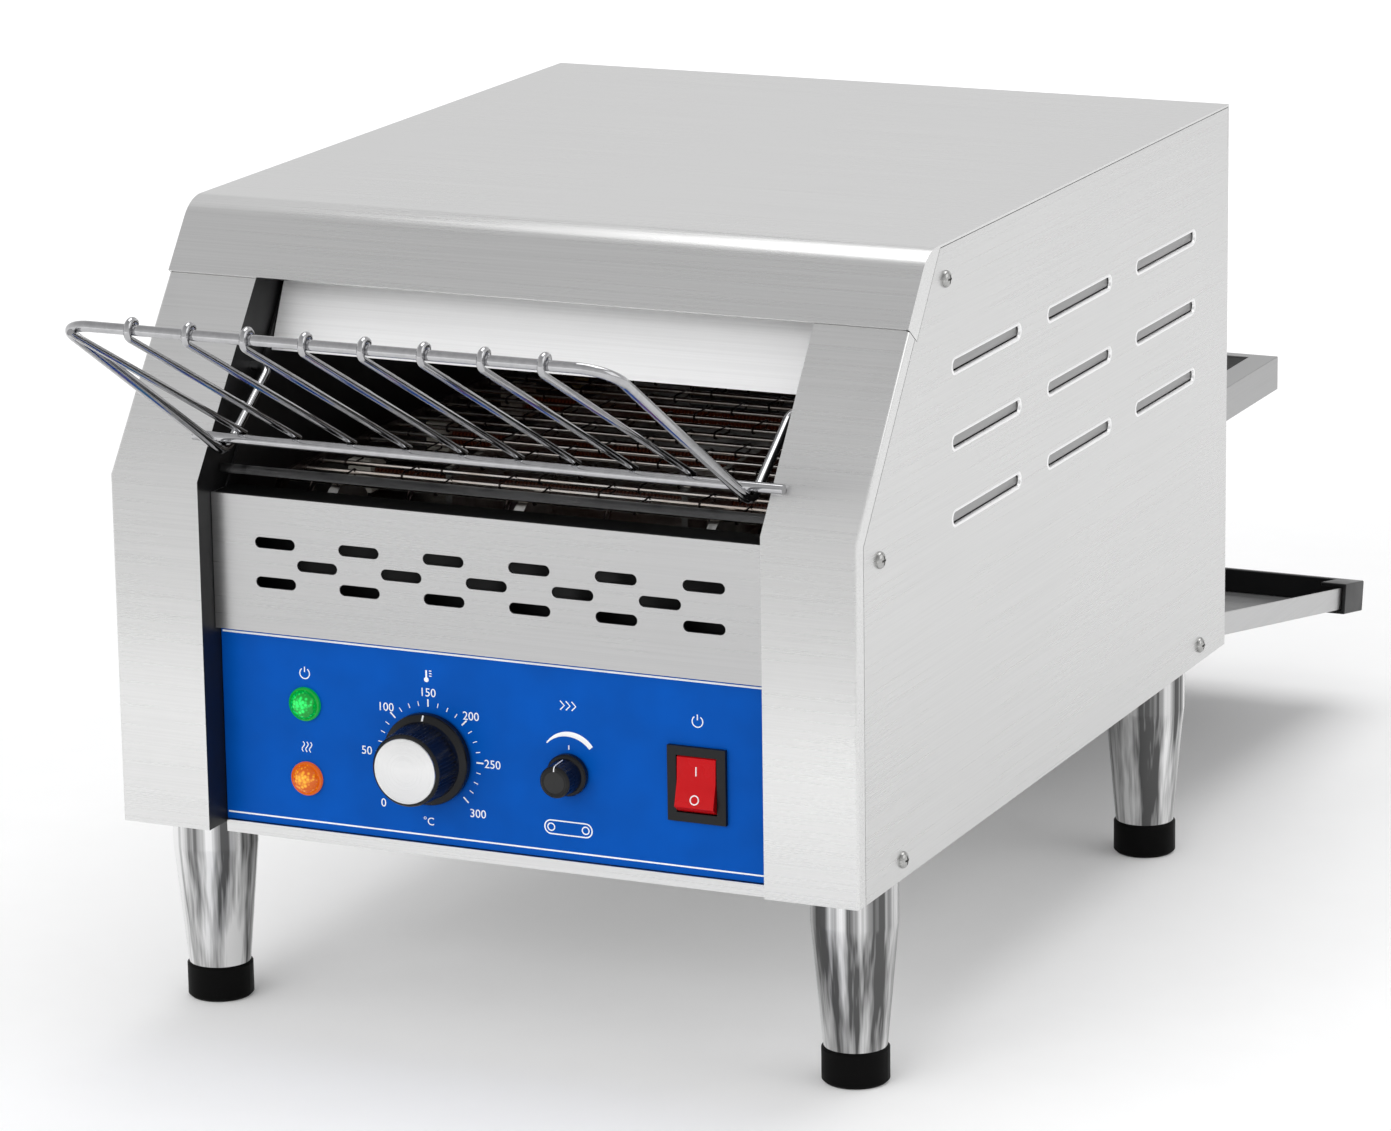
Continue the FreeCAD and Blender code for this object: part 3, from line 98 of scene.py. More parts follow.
def pick(piece, test, kind="VERT"):
    # in edit mode: only the corners or faces that pass the test are selected
    bpy.ops.mesh.select_mode(type=kind)
    bpy.ops.mesh.select_all(action="DESELECT")
    shape = bmesh.from_edit_mesh(piece.data)
    for item in (shape.verts if kind == "VERT" else shape.faces):
        if test(item):
            item.select_set(True)
    shape.select_flush(True)
    bmesh.update_edit_mesh(piece.data)


def extrude(step):
    bpy.ops.mesh.extrude_region_move(TRANSFORM_OT_translate={"value": step})


def settle(piece):
    makeActive(piece)
    bpy.ops.object.transform_apply(location=True, rotation=True, scale=True)


def addModifier(piece, kind, **settings):
    makeActive(piece)
    modifier = piece.modifiers.new(kind.lower(), kind)
    for key, value in settings.items():
        setattr(modifier, key, value)
    bpy.ops.object.modifier_apply(modifier=modifier.name)


def easeEdges(piece, width, angle):
    # width in millimetres, on the edges that turn by more than this angle in degrees
    addModifier(piece, "BEVEL", width=width * mm, segments=2, limit_method="ANGLE",
                angle_limit=math.radians(angle))


def copyOf(piece):
    twin = piece.copy()
    twin.data = piece.data.copy()
    bpy.context.collection.objects.link(twin)
    return twin


def joined(parts):
    rest()
    for part in parts:
        part.select_set(True)
    bpy.context.view_layer.objects.active = parts[0]
    bpy.ops.object.join()
    return parts[0]


def finished(piece, name, finishName, body, standsFor=(), angle=32):
    # edges that turn by less than this angle in degrees are shaded smooth
    settle(piece)
    bpy.ops.object.shade_smooth_by_angle(angle=math.radians(angle))
    piece.name = name
    piece.data.name = name
    piece.data.materials.clear()
    piece.data.materials.append(finishes[finishName])
    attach(piece, body)
    if standsFor:
        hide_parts(*standsFor)


def block(spot, size):
    rest()
    bpy.ops.mesh.primitive_cube_add(size=1, location=spot)
    piece = bpy.context.object
    piece.scale = size
    settle(piece)
    return piece


def turnedPiece(spot, facing, profile, sides=48, closed=False, twist=0.0):
    # profile holds (radius, reach along facing) in millimetres, back to front
    rest()
    facing = Vector(facing)
    spot = Vector(spot)
    turn = (facing.to_track_quat("Z", "Y").to_matrix() @ Matrix.Rotation(twist, 3, "Z")).to_euler()
    bpy.ops.mesh.primitive_circle_add(vertices=sides, radius=profile[0][0] * mm,
                                      fill_type="NOTHING" if closed else "NGON",
                                      location=spot + facing * profile[0][1] * mm, rotation=turn)
    piece = bpy.context.object
    settle(piece)
    editAll(piece)
    for old, new in zip(profile, profile[1:]):
        extrude(facing * (new[1] - old[1]) * mm)
        share = new[0] / old[0]
        bpy.ops.transform.resize(value=(share, share, share),
                                 center_override=spot + facing * new[1] * mm)
    bpy.ops.mesh.select_all(action="SELECT")
    if closed:
        bpy.ops.mesh.remove_doubles(threshold=1e-6)
    bpy.ops.mesh.normals_make_consistent(inside=False)
    rest()
    return piece


def wireThrough(points, radius, resolution=2, widths=None, loop=False):
    # a round wire through these points, as a mesh; widths are shares of the radius
    rest()
    bpy.ops.object.add(type="CURVE")
    wire = bpy.context.object
    wire.data.dimensions = "3D"
    wire.data.bevel_depth = radius
    wire.data.bevel_resolution = resolution
    wire.data.use_fill_caps = True
    line = wire.data.splines.new("POLY")
    line.points.add(len(points) - 1)
    for index, point in enumerate(points):
        line.points[index].co = (*point, 1.0)
        line.points[index].radius = widths[index] if widths else 1.0
    line.use_cyclic_u = loop
    makeActive(wire)
    bpy.ops.object.convert(target="MESH")
    return bpy.context.object


print("tools ready")


# finishes

def newFinish(name):
    finish = bpy.data.materials.new(name)
    finish.use_nodes = True
    return finish, finish.node_tree, finish.node_tree.nodes["Principled BSDF"]


def link(tree, source, target):
    tree.links.new(source, target)


def setInputs(part, values):
    for key, value in values.items():
        part.inputs[key].default_value = value


def objectPlace(tree, stretch=(1, 1, 1), offset=(0, 0, 0)):
    place = tree.nodes.new("ShaderNodeTexCoord")
    mapping = tree.nodes.new("ShaderNodeMapping")
    setInputs(mapping, {"Location": offset, "Scale": stretch})
    link(tree, place.outputs["Object"], mapping.inputs["Vector"])
    return mapping.outputs["Vector"]


def lengthOf(tree, vector):
    reach = tree.nodes.new("ShaderNodeVectorMath")
    reach.operation = "LENGTH"
    link(tree, vector, reach.inputs[0])
    return reach.outputs["Value"]


def noiseAt(tree, vector, scale, detail, roughness=0.55):
    noise = tree.nodes.new("ShaderNodeTexNoise")
    setInputs(noise, {"Scale": scale, "Detail": detail, "Roughness": roughness})
    link(tree, vector, noise.inputs["Vector"])
    return noise.outputs["Fac"]


def between(tree, value, low, high, start=0.3, end=0.7):
    spread = tree.nodes.new("ShaderNodeMapRange")
    setInputs(spread, {"From Min": start, "From Max": end, "To Min": low, "To Max": high})
    link(tree, value, spread.inputs["Value"])
    return spread.outputs["Result"]


def colourBetween(tree, value, first, second, start=0.3, end=0.7):
    ramp = tree.nodes.new("ShaderNodeValToRGB")
    stops = ((start, first), (end, second))
    for element, (position, colour) in zip(ramp.color_ramp.elements, stops):
        element.position = position
        element.color = (*colour, 1)
    link(tree, value, ramp.inputs["Fac"])
    return ramp.outputs["Color"]


def bumpFrom(tree, shader, value, strength, distance=0.0002):
    bump = tree.nodes.new("ShaderNodeBump")
    setInputs(bump, {"Strength": strength, "Distance": distance})
    link(tree, value, bump.inputs["Height"])
    link(tree, bump.outputs["Normal"], shader.inputs["Normal"])


def added(tree, first, second, share):
    total = tree.nodes.new("ShaderNodeMath")
    total.operation = "MULTIPLY_ADD"
    total.inputs[1].default_value = share
    link(tree, second, total.inputs[0])
    link(tree, first, total.inputs[2])
    return total.outputs["Value"]


def shaded(colour, share):
    return tuple(channel * share for channel in colour)


def brushedMetal(name, settings):
    # the grain is stretched along the brushing, broad smudges vary the gloss; on the legs the grain is drawn
    # out into wide painted reflection bands
    finish, tree, shader = newFinish(name)
    grain = noiseAt(tree, objectPlace(tree, settings["grain"]), scale=1.0, detail=4.0, roughness=0.62)
    smudge = noiseAt(tree, objectPlace(tree), scale=9.0, detail=2.0)
    colour = settings["colour"]
    start, end = settings.get("spread", (0.34, 0.6))
    link(tree, colourBetween(tree, grain, shaded(colour, 1 - settings["tone"]), colour, start, end),
         shader.inputs["Base Color"])
    mixed = added(tree, grain, smudge, 0.5)
    link(tree, between(tree, mixed, *settings["rough"], start=0.5, end=1.0), shader.inputs["Roughness"])
    setInputs(shader, {"Metallic": settings.get("metal", 1.0)})
    bumpFrom(tree, shader, grain, settings["bump"])
    return finish


def mouldedPlastic(name, settings):
    # a fine texture in the surface, broad patches in colour and gloss
    finish, tree, shader = newFinish(name)
    fine = noiseAt(tree, objectPlace(tree), settings["texture"], detail=2.0)
    broad = noiseAt(tree, objectPlace(tree), scale=40.0, detail=2.0)
    colour = settings["colour"]
    link(tree, colourBetween(tree, broad, shaded(colour, 0.86), colour), shader.inputs["Base Color"])
    link(tree, between(tree, broad, *settings["rough"]), shader.inputs["Roughness"])
    setInputs(shader, {"Specular IOR Level": settings.get("gloss", 0.5)})
    bumpFrom(tree, shader, fine, settings["bump"])
    return finish


def mottledMetal(name, settings):
    # metal with a dull mottled surface, such as zinc, brass or heat-tinted wire
    finish, tree, shader = newFinish(name)
    mottle = noiseAt(tree, objectPlace(tree), settings["mottle"], detail=4.0, roughness=0.65)
    link(tree, colourBetween(tree, mottle, settings["dark"], settings["colour"], start=0.35, end=0.62),
         shader.inputs["Base Color"])
    low, high = settings["rough"]
    link(tree, between(tree, mottle, high, low), shader.inputs["Roughness"])
    setInputs(shader, {"Metallic": 1.0})
    bumpFrom(tree, shader, mottle, strength=0.08)
    return finish


# ahead: the glow's centre in front of the panel's face; reach: its radii; both in metres
lensShares = {"ahead": 0.001, "reach": (0.002, 0.0088), "cellTone": -0.7, "spread": (0.05, 0.75),
              "unlit": 0.3}


def lensColour(name, settings):
    # a moulded lens over a lit cell: bright middle, darker rim, prisms inside
    finish, tree, shader = newFinish(name)
    x, z = settings["centre"]
    place = objectPlace(tree, offset=(-x, -(panelY - lensShares["ahead"]), -z))
    cells = tree.nodes.new("ShaderNodeTexVoronoi")
    setInputs(cells, {"Scale": settings["cells"]})
    link(tree, place, cells.inputs["Vector"])
    middle = between(tree, lengthOf(tree, place), 1.0, 0.0, *lensShares["reach"])
    glow = added(tree, middle, cells.outputs["Distance"], lensShares["cellTone"])
    for share, target in ((lensShares["unlit"], "Base Color"), (1.0, "Emission Color")):
        tones = [shaded(settings[part], share) for part in ("rim", "middle")]
        link(tree, colourBetween(tree, glow, *tones, *lensShares["spread"]), shader.inputs[target])
    setInputs(shader, {"Emission Strength": settings["light"], "Roughness": 0.10,
                       "Specular IOR Level": 0.35, "Coat Weight": 0.3, "Coat Roughness": 0.03})
    bumpFrom(tree, shader, cells.outputs["Distance"], strength=0.35, distance=0.0004)
    return finish


def spunMetal(name, settings):
    # fine rings about the dial's axis, as a lathe leaves them
    finish, tree, shader = newFinish(name)
    x, z = settings["axis"]
    place = objectPlace(tree, (1, 0, 1), (-x, 0, -z))
    rings = noiseAt(tree, lengthOf(tree, place), scale=5200.0, detail=3.0, roughness=0.7)
    colour = settings["colour"]
    link(tree, colourBetween(tree, rings, shaded(colour, 0.9), colour), shader.inputs["Base Color"])
    link(tree, between(tree, rings, *settings["rough"]), shader.inputs["Roughness"])
    setInputs(shader, {"Metallic": settings.get("metal", 1.0)})
    bumpFrom(tree, shader, rings, strength=0.5)
    return finish


def glowingQuartz(name, settings):
    # a dim tube with the coil's turns faintly lit in it
    finish, tree, shader = newFinish(name)
    coil = tree.nodes.new("ShaderNodeTexWave")
    coil.bands_direction = "X"
    setInputs(coil, {"Scale": settings["turns"], "Distortion": 0.4})
    link(tree, objectPlace(tree), coil.inputs["Vector"])
    lit = colourBetween(tree, coil.outputs["Fac"], *settings["lit"], start=0.2, end=0.8)
    link(tree, lit, shader.inputs["Emission Color"])
    link(tree, colourBetween(tree, coil.outputs["Fac"], *settings["glass"]), shader.inputs["Base Color"])
    setInputs(shader, {"Emission Strength": settings["light"], "Roughness": 0.15})
    return finish


brushedSettings = {
    "steelAcross": {"colour": (0.77, 0.77, 0.765), "grain": (6, 1000, 1000), "tone": 0.06,
                    "rough": (0.25, 0.33), "bump": 0.035},
    # the side panels are brushed along their length and coloured a shade darker than the front's steel:
    # painted shade
    "steelAlong": {"colour": (0.70, 0.70, 0.695), "grain": (1000, 6, 1000), "tone": 0.06,
                   "rough": (0.25, 0.33), "bump": 0.035},
    # the slotted plate's steel is coloured darker than the front's: painted shade
    "steelPlate": {"colour": (0.52, 0.52, 0.52), "grain": (6, 1000, 1000), "tone": 0.06,
                   "rough": (0.25, 0.33), "bump": 0.035},
    # the baffle's steel is near white and half diffuse so that it reads bright under the hood: painted light
    "steelBaffle": {"colour": (0.93, 0.93, 0.93), "grain": (6, 1000, 1000), "tone": 0.06,
                    "rough": (0.42, 0.50), "bump": 0.035, "metal": 0.45},
    # the tongues behind the vents are the side panels' steel coloured darker: painted shade in the slots
    "steelVent": {"colour": (0.38, 0.38, 0.38), "grain": (1000, 6, 1000), "tone": 0.06,
                  "rough": (0.36, 0.46), "bump": 0.03},
    # the vents' rims are pressed from the side panels' steel but coloured near white: painted highlight
    "steelRim": {"colour": (0.98, 0.98, 0.98), "grain": (300, 300, 300), "tone": 0.03,
                 "rough": (0.30, 0.38), "bump": 0.01},
    "steelShelf": {"colour": (0.42, 0.42, 0.42), "grain": (13, 13, 1000), "tone": 0.075,
                   "rough": (0.28, 0.36), "bump": 0.035},
    "steelTray": {"colour": (0.57, 0.57, 0.57), "grain": (13, 13, 1000), "tone": 0.075,
                  "rough": (0.28, 0.36), "bump": 0.035},
    "lipSteel": {"colour": (0.20, 0.20, 0.20), "grain": (9, 400, 400), "tone": 0.5,
                 "rough": (0.18, 0.30), "bump": 0.03},
    # the legs' wide vertical streaks, from dark to bright, are painted reflections
    "legSteel": {"colour": (0.88, 0.88, 0.88), "grain": (75, 75, 0.08), "tone": 0.88,
                 "rough": (0.08, 0.14), "bump": 0.0, "spread": (0.40, 0.56)},
    "screwSteel": {"colour": (0.48, 0.48, 0.47), "grain": (900, 900, 900), "tone": 0.15,
                   "rough": (0.18, 0.32), "bump": 0.05},
    "chromeWire": {"colour": (0.50, 0.50, 0.51), "grain": (240, 240, 240), "tone": 0.12,
                   "rough": (0.05, 0.10), "bump": 0.01},
}
mottledSettings = {
    "beltWire": {"colour": (0.97, 0.94, 0.90), "dark": (0.80, 0.70, 0.62), "mottle": 45.0,
                 "rough": (0.14, 0.26)},
    "linkSteel": {"colour": (0.09, 0.075, 0.07), "dark": (0.03, 0.02, 0.018), "mottle": 160.0,
                  "rough": (0.4, 0.6)},
    "zincSteel": {"colour": (0.60, 0.60, 0.58), "dark": (0.44, 0.44, 0.43), "mottle": 70.0,
                  "rough": (0.3, 0.48)},
    "chainSteel": {"colour": (0.26, 0.25, 0.23), "dark": (0.10, 0.09, 0.08), "mottle": 200.0,
                   "rough": (0.3, 0.5)},
    "bushBrass": {"colour": (0.72, 0.52, 0.24), "dark": (0.48, 0.33, 0.14), "mottle": 120.0,
                  "rough": (0.28, 0.45)},
}
plasticSettings = {
    "blackEnamel": {"colour": (0.008, 0.008, 0.0085), "texture": 900.0, "rough": (0.34, 0.50),
                    "bump": 0.10, "gloss": 0.35},
    "blueEnamel": {"colour": (0.0, 0.080, 0.42), "texture": 700.0, "rough": (0.32, 0.42),
                   "bump": 0.02, "gloss": 0.07},
    "knobPlastic": {"colour": (0.006, 0.006, 0.0065), "texture": 1600.0, "rough": (0.22, 0.32),
                    "bump": 0.06, "gloss": 0.28},
    "framePlastic": {"colour": (0.007, 0.007, 0.0075), "texture": 1400.0, "rough": (0.30, 0.42),
                     "bump": 0.10, "gloss": 0.28},
    "greyPlastic": {"colour": (0.30, 0.30, 0.30), "texture": 900.0, "rough": (0.40, 0.55),
                    "bump": 0.10},
    "footRubber": {"colour": (0.003, 0.003, 0.003), "texture": 1100.0, "rough": (0.42, 0.62),
                   "bump": 0.12, "gloss": 0.06},
    "trayEnamel": {"colour": (0.12, 0.12, 0.122), "texture": 900.0, "rough": (0.28, 0.42),
                   "bump": 0.08},
    "redPlastic": {"colour": (0.50, 0.003, 0.006), "texture": 900.0, "rough": (0.20, 0.30),
                   "bump": 0.03, "gloss": 0.16},
    "whiteInk": {"colour": (0.90, 0.91, 0.92), "texture": 1500.0, "rough": (0.45, 0.6),
                 "bump": 0.04},
    "ceramic": {"colour": (0.78, 0.74, 0.66), "texture": 600.0, "rough": (0.6, 0.8),
                "bump": 0.25},
}
lensSettings = {
    "greenLens": {"centre": lampSpots["lamp_green"], "rim": (0.0, 0.16, 0.016),
                  "middle": (0.012, 0.90, 0.15), "cells": 620.0, "light": 1.7},
    "amberLens": {"centre": lampSpots["lamp_amber"], "rim": (0.42, 0.07, 0.0),
                  "middle": (0.95, 0.54, 0.03), "cells": 620.0, "light": 1.25},
}
spunSettings = {
    "spunFace": {"axis": dialSpot, "colour": (0.85, 0.85, 0.85), "rough": (0.16, 0.30)},
    "spunBlack": {"axis": speedSpot, "colour": (0.03, 0.03, 0.03), "rough": (0.25, 0.38),
                  "metal": 0.6},
}
quartzSettings = {
    "quartz": {"lit": ((0.35, 0.03, 0.0), (1.0, 0.16, 0.02)), "turns": 160.0, "light": 0.012,
               "glass": ((0.015, 0.010, 0.009), (0.035, 0.022, 0.018))},
}
makers = ((brushedMetal, brushedSettings), (mottledMetal, mottledSettings),
          (mouldedPlastic, plasticSettings), (lensColour, lensSettings),
          (spunMetal, spunSettings), (glowingQuartz, quartzSettings))
finishes = {name: maker(name, settings) for maker, table in makers for name, settings in table.items()}
print("finishes ready")

# the nodes that are shown as they are, under the finish that they wear
nodeFinishes = {
    "steelAcross": ["back_panel"],
    "legSteel": ["legs"],
    "lipSteel": ["feed_lip"],
    "screwSteel": ["base_screws"],
    "chromeWire": ["rack_frame_rod", "rack_cross_rod"],
    "beltWire": ["belt_rods"],
    "linkSteel": ["belt_edge_links"],
    "zincSteel": ["lower_reflector", "belt_rails", "drive_shaft", "idler_shaft", "drive_sprocket",
                  "motor_sprocket", "gearbox", "motor", "motor_bracket", "exit_chute", "tray_runners",
                  "thermostat"],
    "chainSteel": ["drive_chain"],
    "bushBrass": ["shaft_bushes"],
    "blackEnamel": ["chamber_liner_left", "chamber_liner_right", "chamber_roof", "front_sill"],
    "trayEnamel": ["rear_shelf_floor", "rear_tray_floor"],
    "framePlastic": ["fan_frame", "fan_rotor", "cable_gland"],
    "greyPlastic": ["speed_control", "lamp_sockets"],
    "footRubber": ["rubber_feet"],
    "ceramic": ["heater_holders", "terminal_block"],
    "quartz": ["heaters_upper", "heaters_lower"],
}
for finishName, names in nodeFinishes.items():
    for node in names:
        for materialSlot in nodes[node].material_slots:
            materialSlot.material = finishes[finishName]
print("nodes dressed")


# folded sheet metal and frames: the CAD solids with their edges eased, by node, as the piece's
# name, its finish and the width of the easing in millimetres

sheetPieces = {
    "front_post_left": ("frontPostLeft", "steelAcross", 0.20),
    "front_post_right": ("frontPostRight", "steelAcross", 0.20),
    "side_panel_left": ("sidePanelLeft", "steelAlong", 0.25),
    "side_panel_right": ("sidePanelRight", "steelAlong", 0.25),
    "top_cover": ("topCover", "steelAcross", 0.40),
    "base_plate": ("basePlate", "steelAcross", 0.30),
    "perforated_front_plate": ("perforatedPlate", "steelPlate", 0.35),
    "control_panel": ("controlPanel", "blueEnamel", 0.30),
    "upper_baffle": ("upperBaffle", "steelBaffle", 0.35),
    "rear_shelf_rim": ("shelfRim", "steelShelf", 0.40),
    "rear_tray_rim": ("trayRim", "steelTray", 0.40),
    "tray_end_trim": ("trayEndTrim", "framePlastic", 0.70),
    "switch_frame": ("switchFrame", "framePlastic", 0.60),
    "switch_rocker": ("switchRocker", "redPlastic", 0.55),
}
# bend: the folds' radius in millimetres; in metres, the shortest edge that is folded and how far
# from the middle the sides painted black as shade may lie
postSettings = {"bend": 1.5, "long": 0.05, "inner": 0.1405}


def easedSheet(node, name, finishName, width):
    makeActive(nodes[node])
    bpy.ops.object.duplicate()
    piece = bpy.context.object
    bpy.ops.object.parent_clear(type="CLEAR_KEEP_TRANSFORM")
    editAll(piece)
    bpy.ops.mesh.remove_doubles(threshold=2e-6)
    bpy.ops.mesh.dissolve_limited(angle_limit=math.radians(0.6))
    if node.startswith("front_post"):
        roundBend(piece)
    rest()
    easeEdges(piece, width, 38)
    finished(piece, name, finishName, bodyOf[node], [node])
    addModifier(piece, "WEIGHTED_NORMAL", mode="FACE_AREA", weight=90, keep_sharp=True)


def roundBend(piece):
    # the folded corners between a post's front and its outer return
    bpy.ops.mesh.select_mode(type="EDGE")
    bpy.ops.mesh.select_all(action="DESELECT")
    shape = bmesh.from_edit_mesh(piece.data)
    for edge in shape.edges:
        if len(edge.link_faces) == 2 and edge.calc_length() > postSettings["long"]:
            first, second = sorted((face.normal for face in edge.link_faces), key=lambda normal: normal.y)
            if first.y < -0.5 and abs(second.x) > 0.9 and edge.verts[0].co.x * second.x > 0:
                edge.select_set(True)
    bmesh.update_edit_mesh(piece.data)
    bpy.ops.mesh.bevel(offset=postSettings["bend"] * mm, segments=4, affect="EDGES", clamp_overlap=True)


def paintedShadeReturn(piece):
    # the sides that face the chamber and the controls are painted black: painted shade for the recesses they
    # face
    def facesInward(facet):
        x = facet.calc_center_median().x
        return facet.normal.x * x < -1e-5 and abs(facet.normal.x) > 0.9 and abs(x) < postSettings["inner"]

    piece.data.materials.append(finishes["blackEnamel"])
    editAll(piece)
    pick(piece, facesInward, "FACE")
    piece.active_material_index = 1
    bpy.ops.object.material_slot_assign()
    rest()


for node, (name, finishName, width) in sheetPieces.items():
    easedSheet(node, name, finishName, width)
for name in ("frontPostLeft", "frontPostRight"):
    paintedShadeReturn(bpy.data.objects[name])
print("sheets eased")


# pressed rims round the side vents and the tongues behind them, in millimetres

ventSettings = {
    "length": 83.0, "radius": 3.0, "firstY": 153.0, "pitchY": 118.2, "topZ": 317.0, "pitchZ": 35.0,
    "profile": [(4.3, 0.0), (3.95, 0.22), (3.5, 0.30), (3.0, 0.12), (2.7, -0.35), (2.55, -1.15),
                (2.75, -1.15), (2.85, -0.5)],
    "sides": 24, "tongue": (84.0, 0.5, 8.0), "behind": 1.9, "lean": 0.3, "gap": 2.0,
    "ease": 0.15,
}
ventPlaces = [(column, line) for column in range(3) for line in range(3)]


def ventRims(side, name):
    settings = ventSettings
    profile = settings["profile"] + settings["profile"][:1]
    centreY = frontY + (settings["firstY"] - settings["length"] / 2 + settings["radius"]) * mm
    rim = turnedPiece((side * sideX, centreY, settings["topZ"] * mm), (side, 0, 0), profile,
                      settings["sides"], closed=True, twist=math.radians(180 / settings["sides"]))
    editAll(rim)
    pick(rim, lambda corner: corner.co.y > centreY)
    bpy.ops.transform.translate(value=(0, (settings["length"] - 2 * settings["radius"]) * mm, 0))
    rest()
    rims = [rim]
    for column, line in ventPlaces[1:]:
        twin = copyOf(rim)
        twin.location = (0, column * settings["pitchY"] * mm, -line * settings["pitchZ"] * mm)
        settle(twin)
        rims.append(twin)
    finished(joined(rims), name, "steelRim", "housing")


def ventTongues(side, name):
    # the strip that each slot is pressed from stands behind it and leaves a gap at its foot
    settings = ventSettings
    long, thick, high = (value * mm for value in settings["tongue"])
    tongues = []
    for column, line in ventPlaces:
        y = frontY + (settings["firstY"] + column * settings["pitchY"]) * mm
        z = (settings["topZ"] - line * settings["pitchZ"]) * mm
        tongue = block((side * (sideX - settings["behind"] * mm), y, z), (thick, long, high))
        editAll(tongue)
        pick(tongue, lambda corner: corner.co.z < z)
        bpy.ops.transform.translate(value=(side * settings["lean"] * mm, 0, settings["gap"] * mm))
        rest()
        easeEdges(tongue, settings["ease"], 30)
        tongues.append(tongue)
    finished(joined(tongues), name, "steelVent", "housing")


for side, word in ((-1, "Left"), (1, "Right")):
    ventRims(side, "ventRims" + word)
    ventTongues(side, "ventTongues" + word)
print("vents pressed")


# the nine wires of the feed rack, each with its end curled round the rail; millimetres and degrees

wireSettings = {"count": 9, "radius": 1.6, "rod": 2.4, "clear": 0.12, "slope": 32.0, "curl": 215,
                "steps": 14, "tip": 0.6, "taper": [0.86, 0.45]}


def curledWires():
    settings = wireSettings
    low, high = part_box("rack_wires")
    railLow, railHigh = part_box("rack_frame_rod")
    radius, rod = settings["radius"] * mm, settings["rod"] * mm
    slope = math.radians(settings["slope"])
    along = Vector((0, -math.cos(slope), math.sin(slope)))
    under = Vector((0, -math.sin(slope), -math.cos(slope)))
    rail = Vector((0, railLow[1] + rod, railHigh[2] - rod))
    end = Vector((0, high[1] - radius * math.sin(slope), low[2] + radius * math.cos(slope)))
    reach = rod + radius + settings["clear"] * mm
    curled = [end]
    for step in range(settings["steps"] + 1):
        turn = math.radians(settings["curl"] * step / settings["steps"])
        curled.append(rail + (under * math.cos(turn) + along * math.sin(turn)) * reach)
    curled.append(curled[-1] + (curled[-1] - curled[-2]).normalized() * radius * settings["tip"])
    tapered = [1.0] * (len(curled) - 2) + settings["taper"]
    plain = [end, rail + under * reach, rail + under * reach + along * rod]
    wires = []
    for index in range(settings["count"]):
        # the outermost wire on the left lies under the rail's bend and has no curl
        points, widths = (curled, tapered) if index else (plain, None)
        x = low[0] + radius + (high[0] - low[0] - 2 * radius) * index / (settings["count"] - 1)
        wires.append(wireThrough([point + Vector((x, 0, 0)) for point in points], radius, 3, widths))
    finished(joined(wires), "rackWires", "chromeWire", bodyOf["rack_wires"],
             ["rack_wires"], 50)


curledWires()
print("rack wires curled")


# a black sheet that hangs from the sill behind the slotted plate, painted shade seen through its slots, in
# millimetres

screenSettings = {"halfWidth": 136.0, "top": 232.4, "head": 1.0, "drop": 38.0, "thick": 1.0,
                  "foot": 5.0, "behind": 29.1, "ease": 0.25}


def slotScreen():
    settings = screenSettings
    y = frontY + (settings["behind"] + settings["thick"] / 2) * mm
    z = settings["top"] * mm - settings["head"] / 2 * mm
    low = z - (settings["head"] / 2 + settings["drop"] + settings["thick"]) * mm
    screen = block((0, y, z), (2 * settings["halfWidth"] * mm, settings["thick"] * mm,
                               settings["head"] * mm))

    def atFoot(facet):
        return facet.normal.y < -0.9 and facet.calc_center_median().z < low + 0.6 * settings["thick"] * mm

    editAll(screen)
    pick(screen, lambda facet: facet.normal.z < -0.9, "FACE")
    for drop in (settings["drop"] * 0.5, settings["drop"] * 0.5, settings["thick"]):
        extrude((0, 0, -drop * mm))
    pick(screen, atFoot, "FACE")
    extrude((0, -settings["foot"] * mm, 0))
    rest()
    easeEdges(screen, settings["ease"], 35)
    finished(screen, "slotScreen", "blackEnamel", "housing")


slotScreen()
print("screen hung")


# cross-recess screws, in millimetres; spots are (behind the posts' front, above the floor)

screwSettings = {
    "profile": [(1.9, -5.0), (1.9, 0.0), (3.9, 0.0), (3.9, 0.55), (3.65, 1.15), (3.05, 1.75), (2.1, 2.2),
                (1.0, 2.38)],
    "sides": 32, "head": 2.4, "over": 0.3, "slotLength": 4.2, "slotWidth": 0.95, "slotDepth": 1.3,
    "spots": [(103.5, 358.7), (26.0, 248.6), (50.4, 105.0), (442.0, 105.0)],
}


def crossScrew(spot, facing):
    settings = screwSettings
    screw = turnedPiece(spot, facing, settings["profile"], settings["sides"])
    rise = settings["head"] - settings["slotDepth"] / 2 + settings["over"]
    front = Vector(spot) + Vector(facing) * rise * mm
    deep = settings["slotDepth"] + 2 * settings["over"]
    long, narrow = settings["slotLength"], settings["slotWidth"]
    for wide, high in ((long, narrow), (narrow, long)):
        cutter = block(front, (deep * mm, wide * mm, high * mm))
        addModifier(screw, "BOOLEAN", operation="DIFFERENCE", object=cutter, solver="EXACT")
        bpy.data.objects.remove(cutter, do_unlink=True)
    return screw


screws = [crossScrew((side * sideX, frontY + y * mm, z * mm), (side, 0, 0))
          for side in (-1, 1) for y, z in screwSettings["spots"]]
finished(joined(screws), "sideScrews", "screwSteel", "housing", ["side_screws"])
print("screws set")


# wire belt links, in millimetres

linkSettings = {"pitchRadius": 22.0, "rodPitch": 16.0, "lanes": 5, "lanePitch": 50.0, "shift": 12.5,
                "cycle": 4, "wire": 0.42, "clear": 1.62}


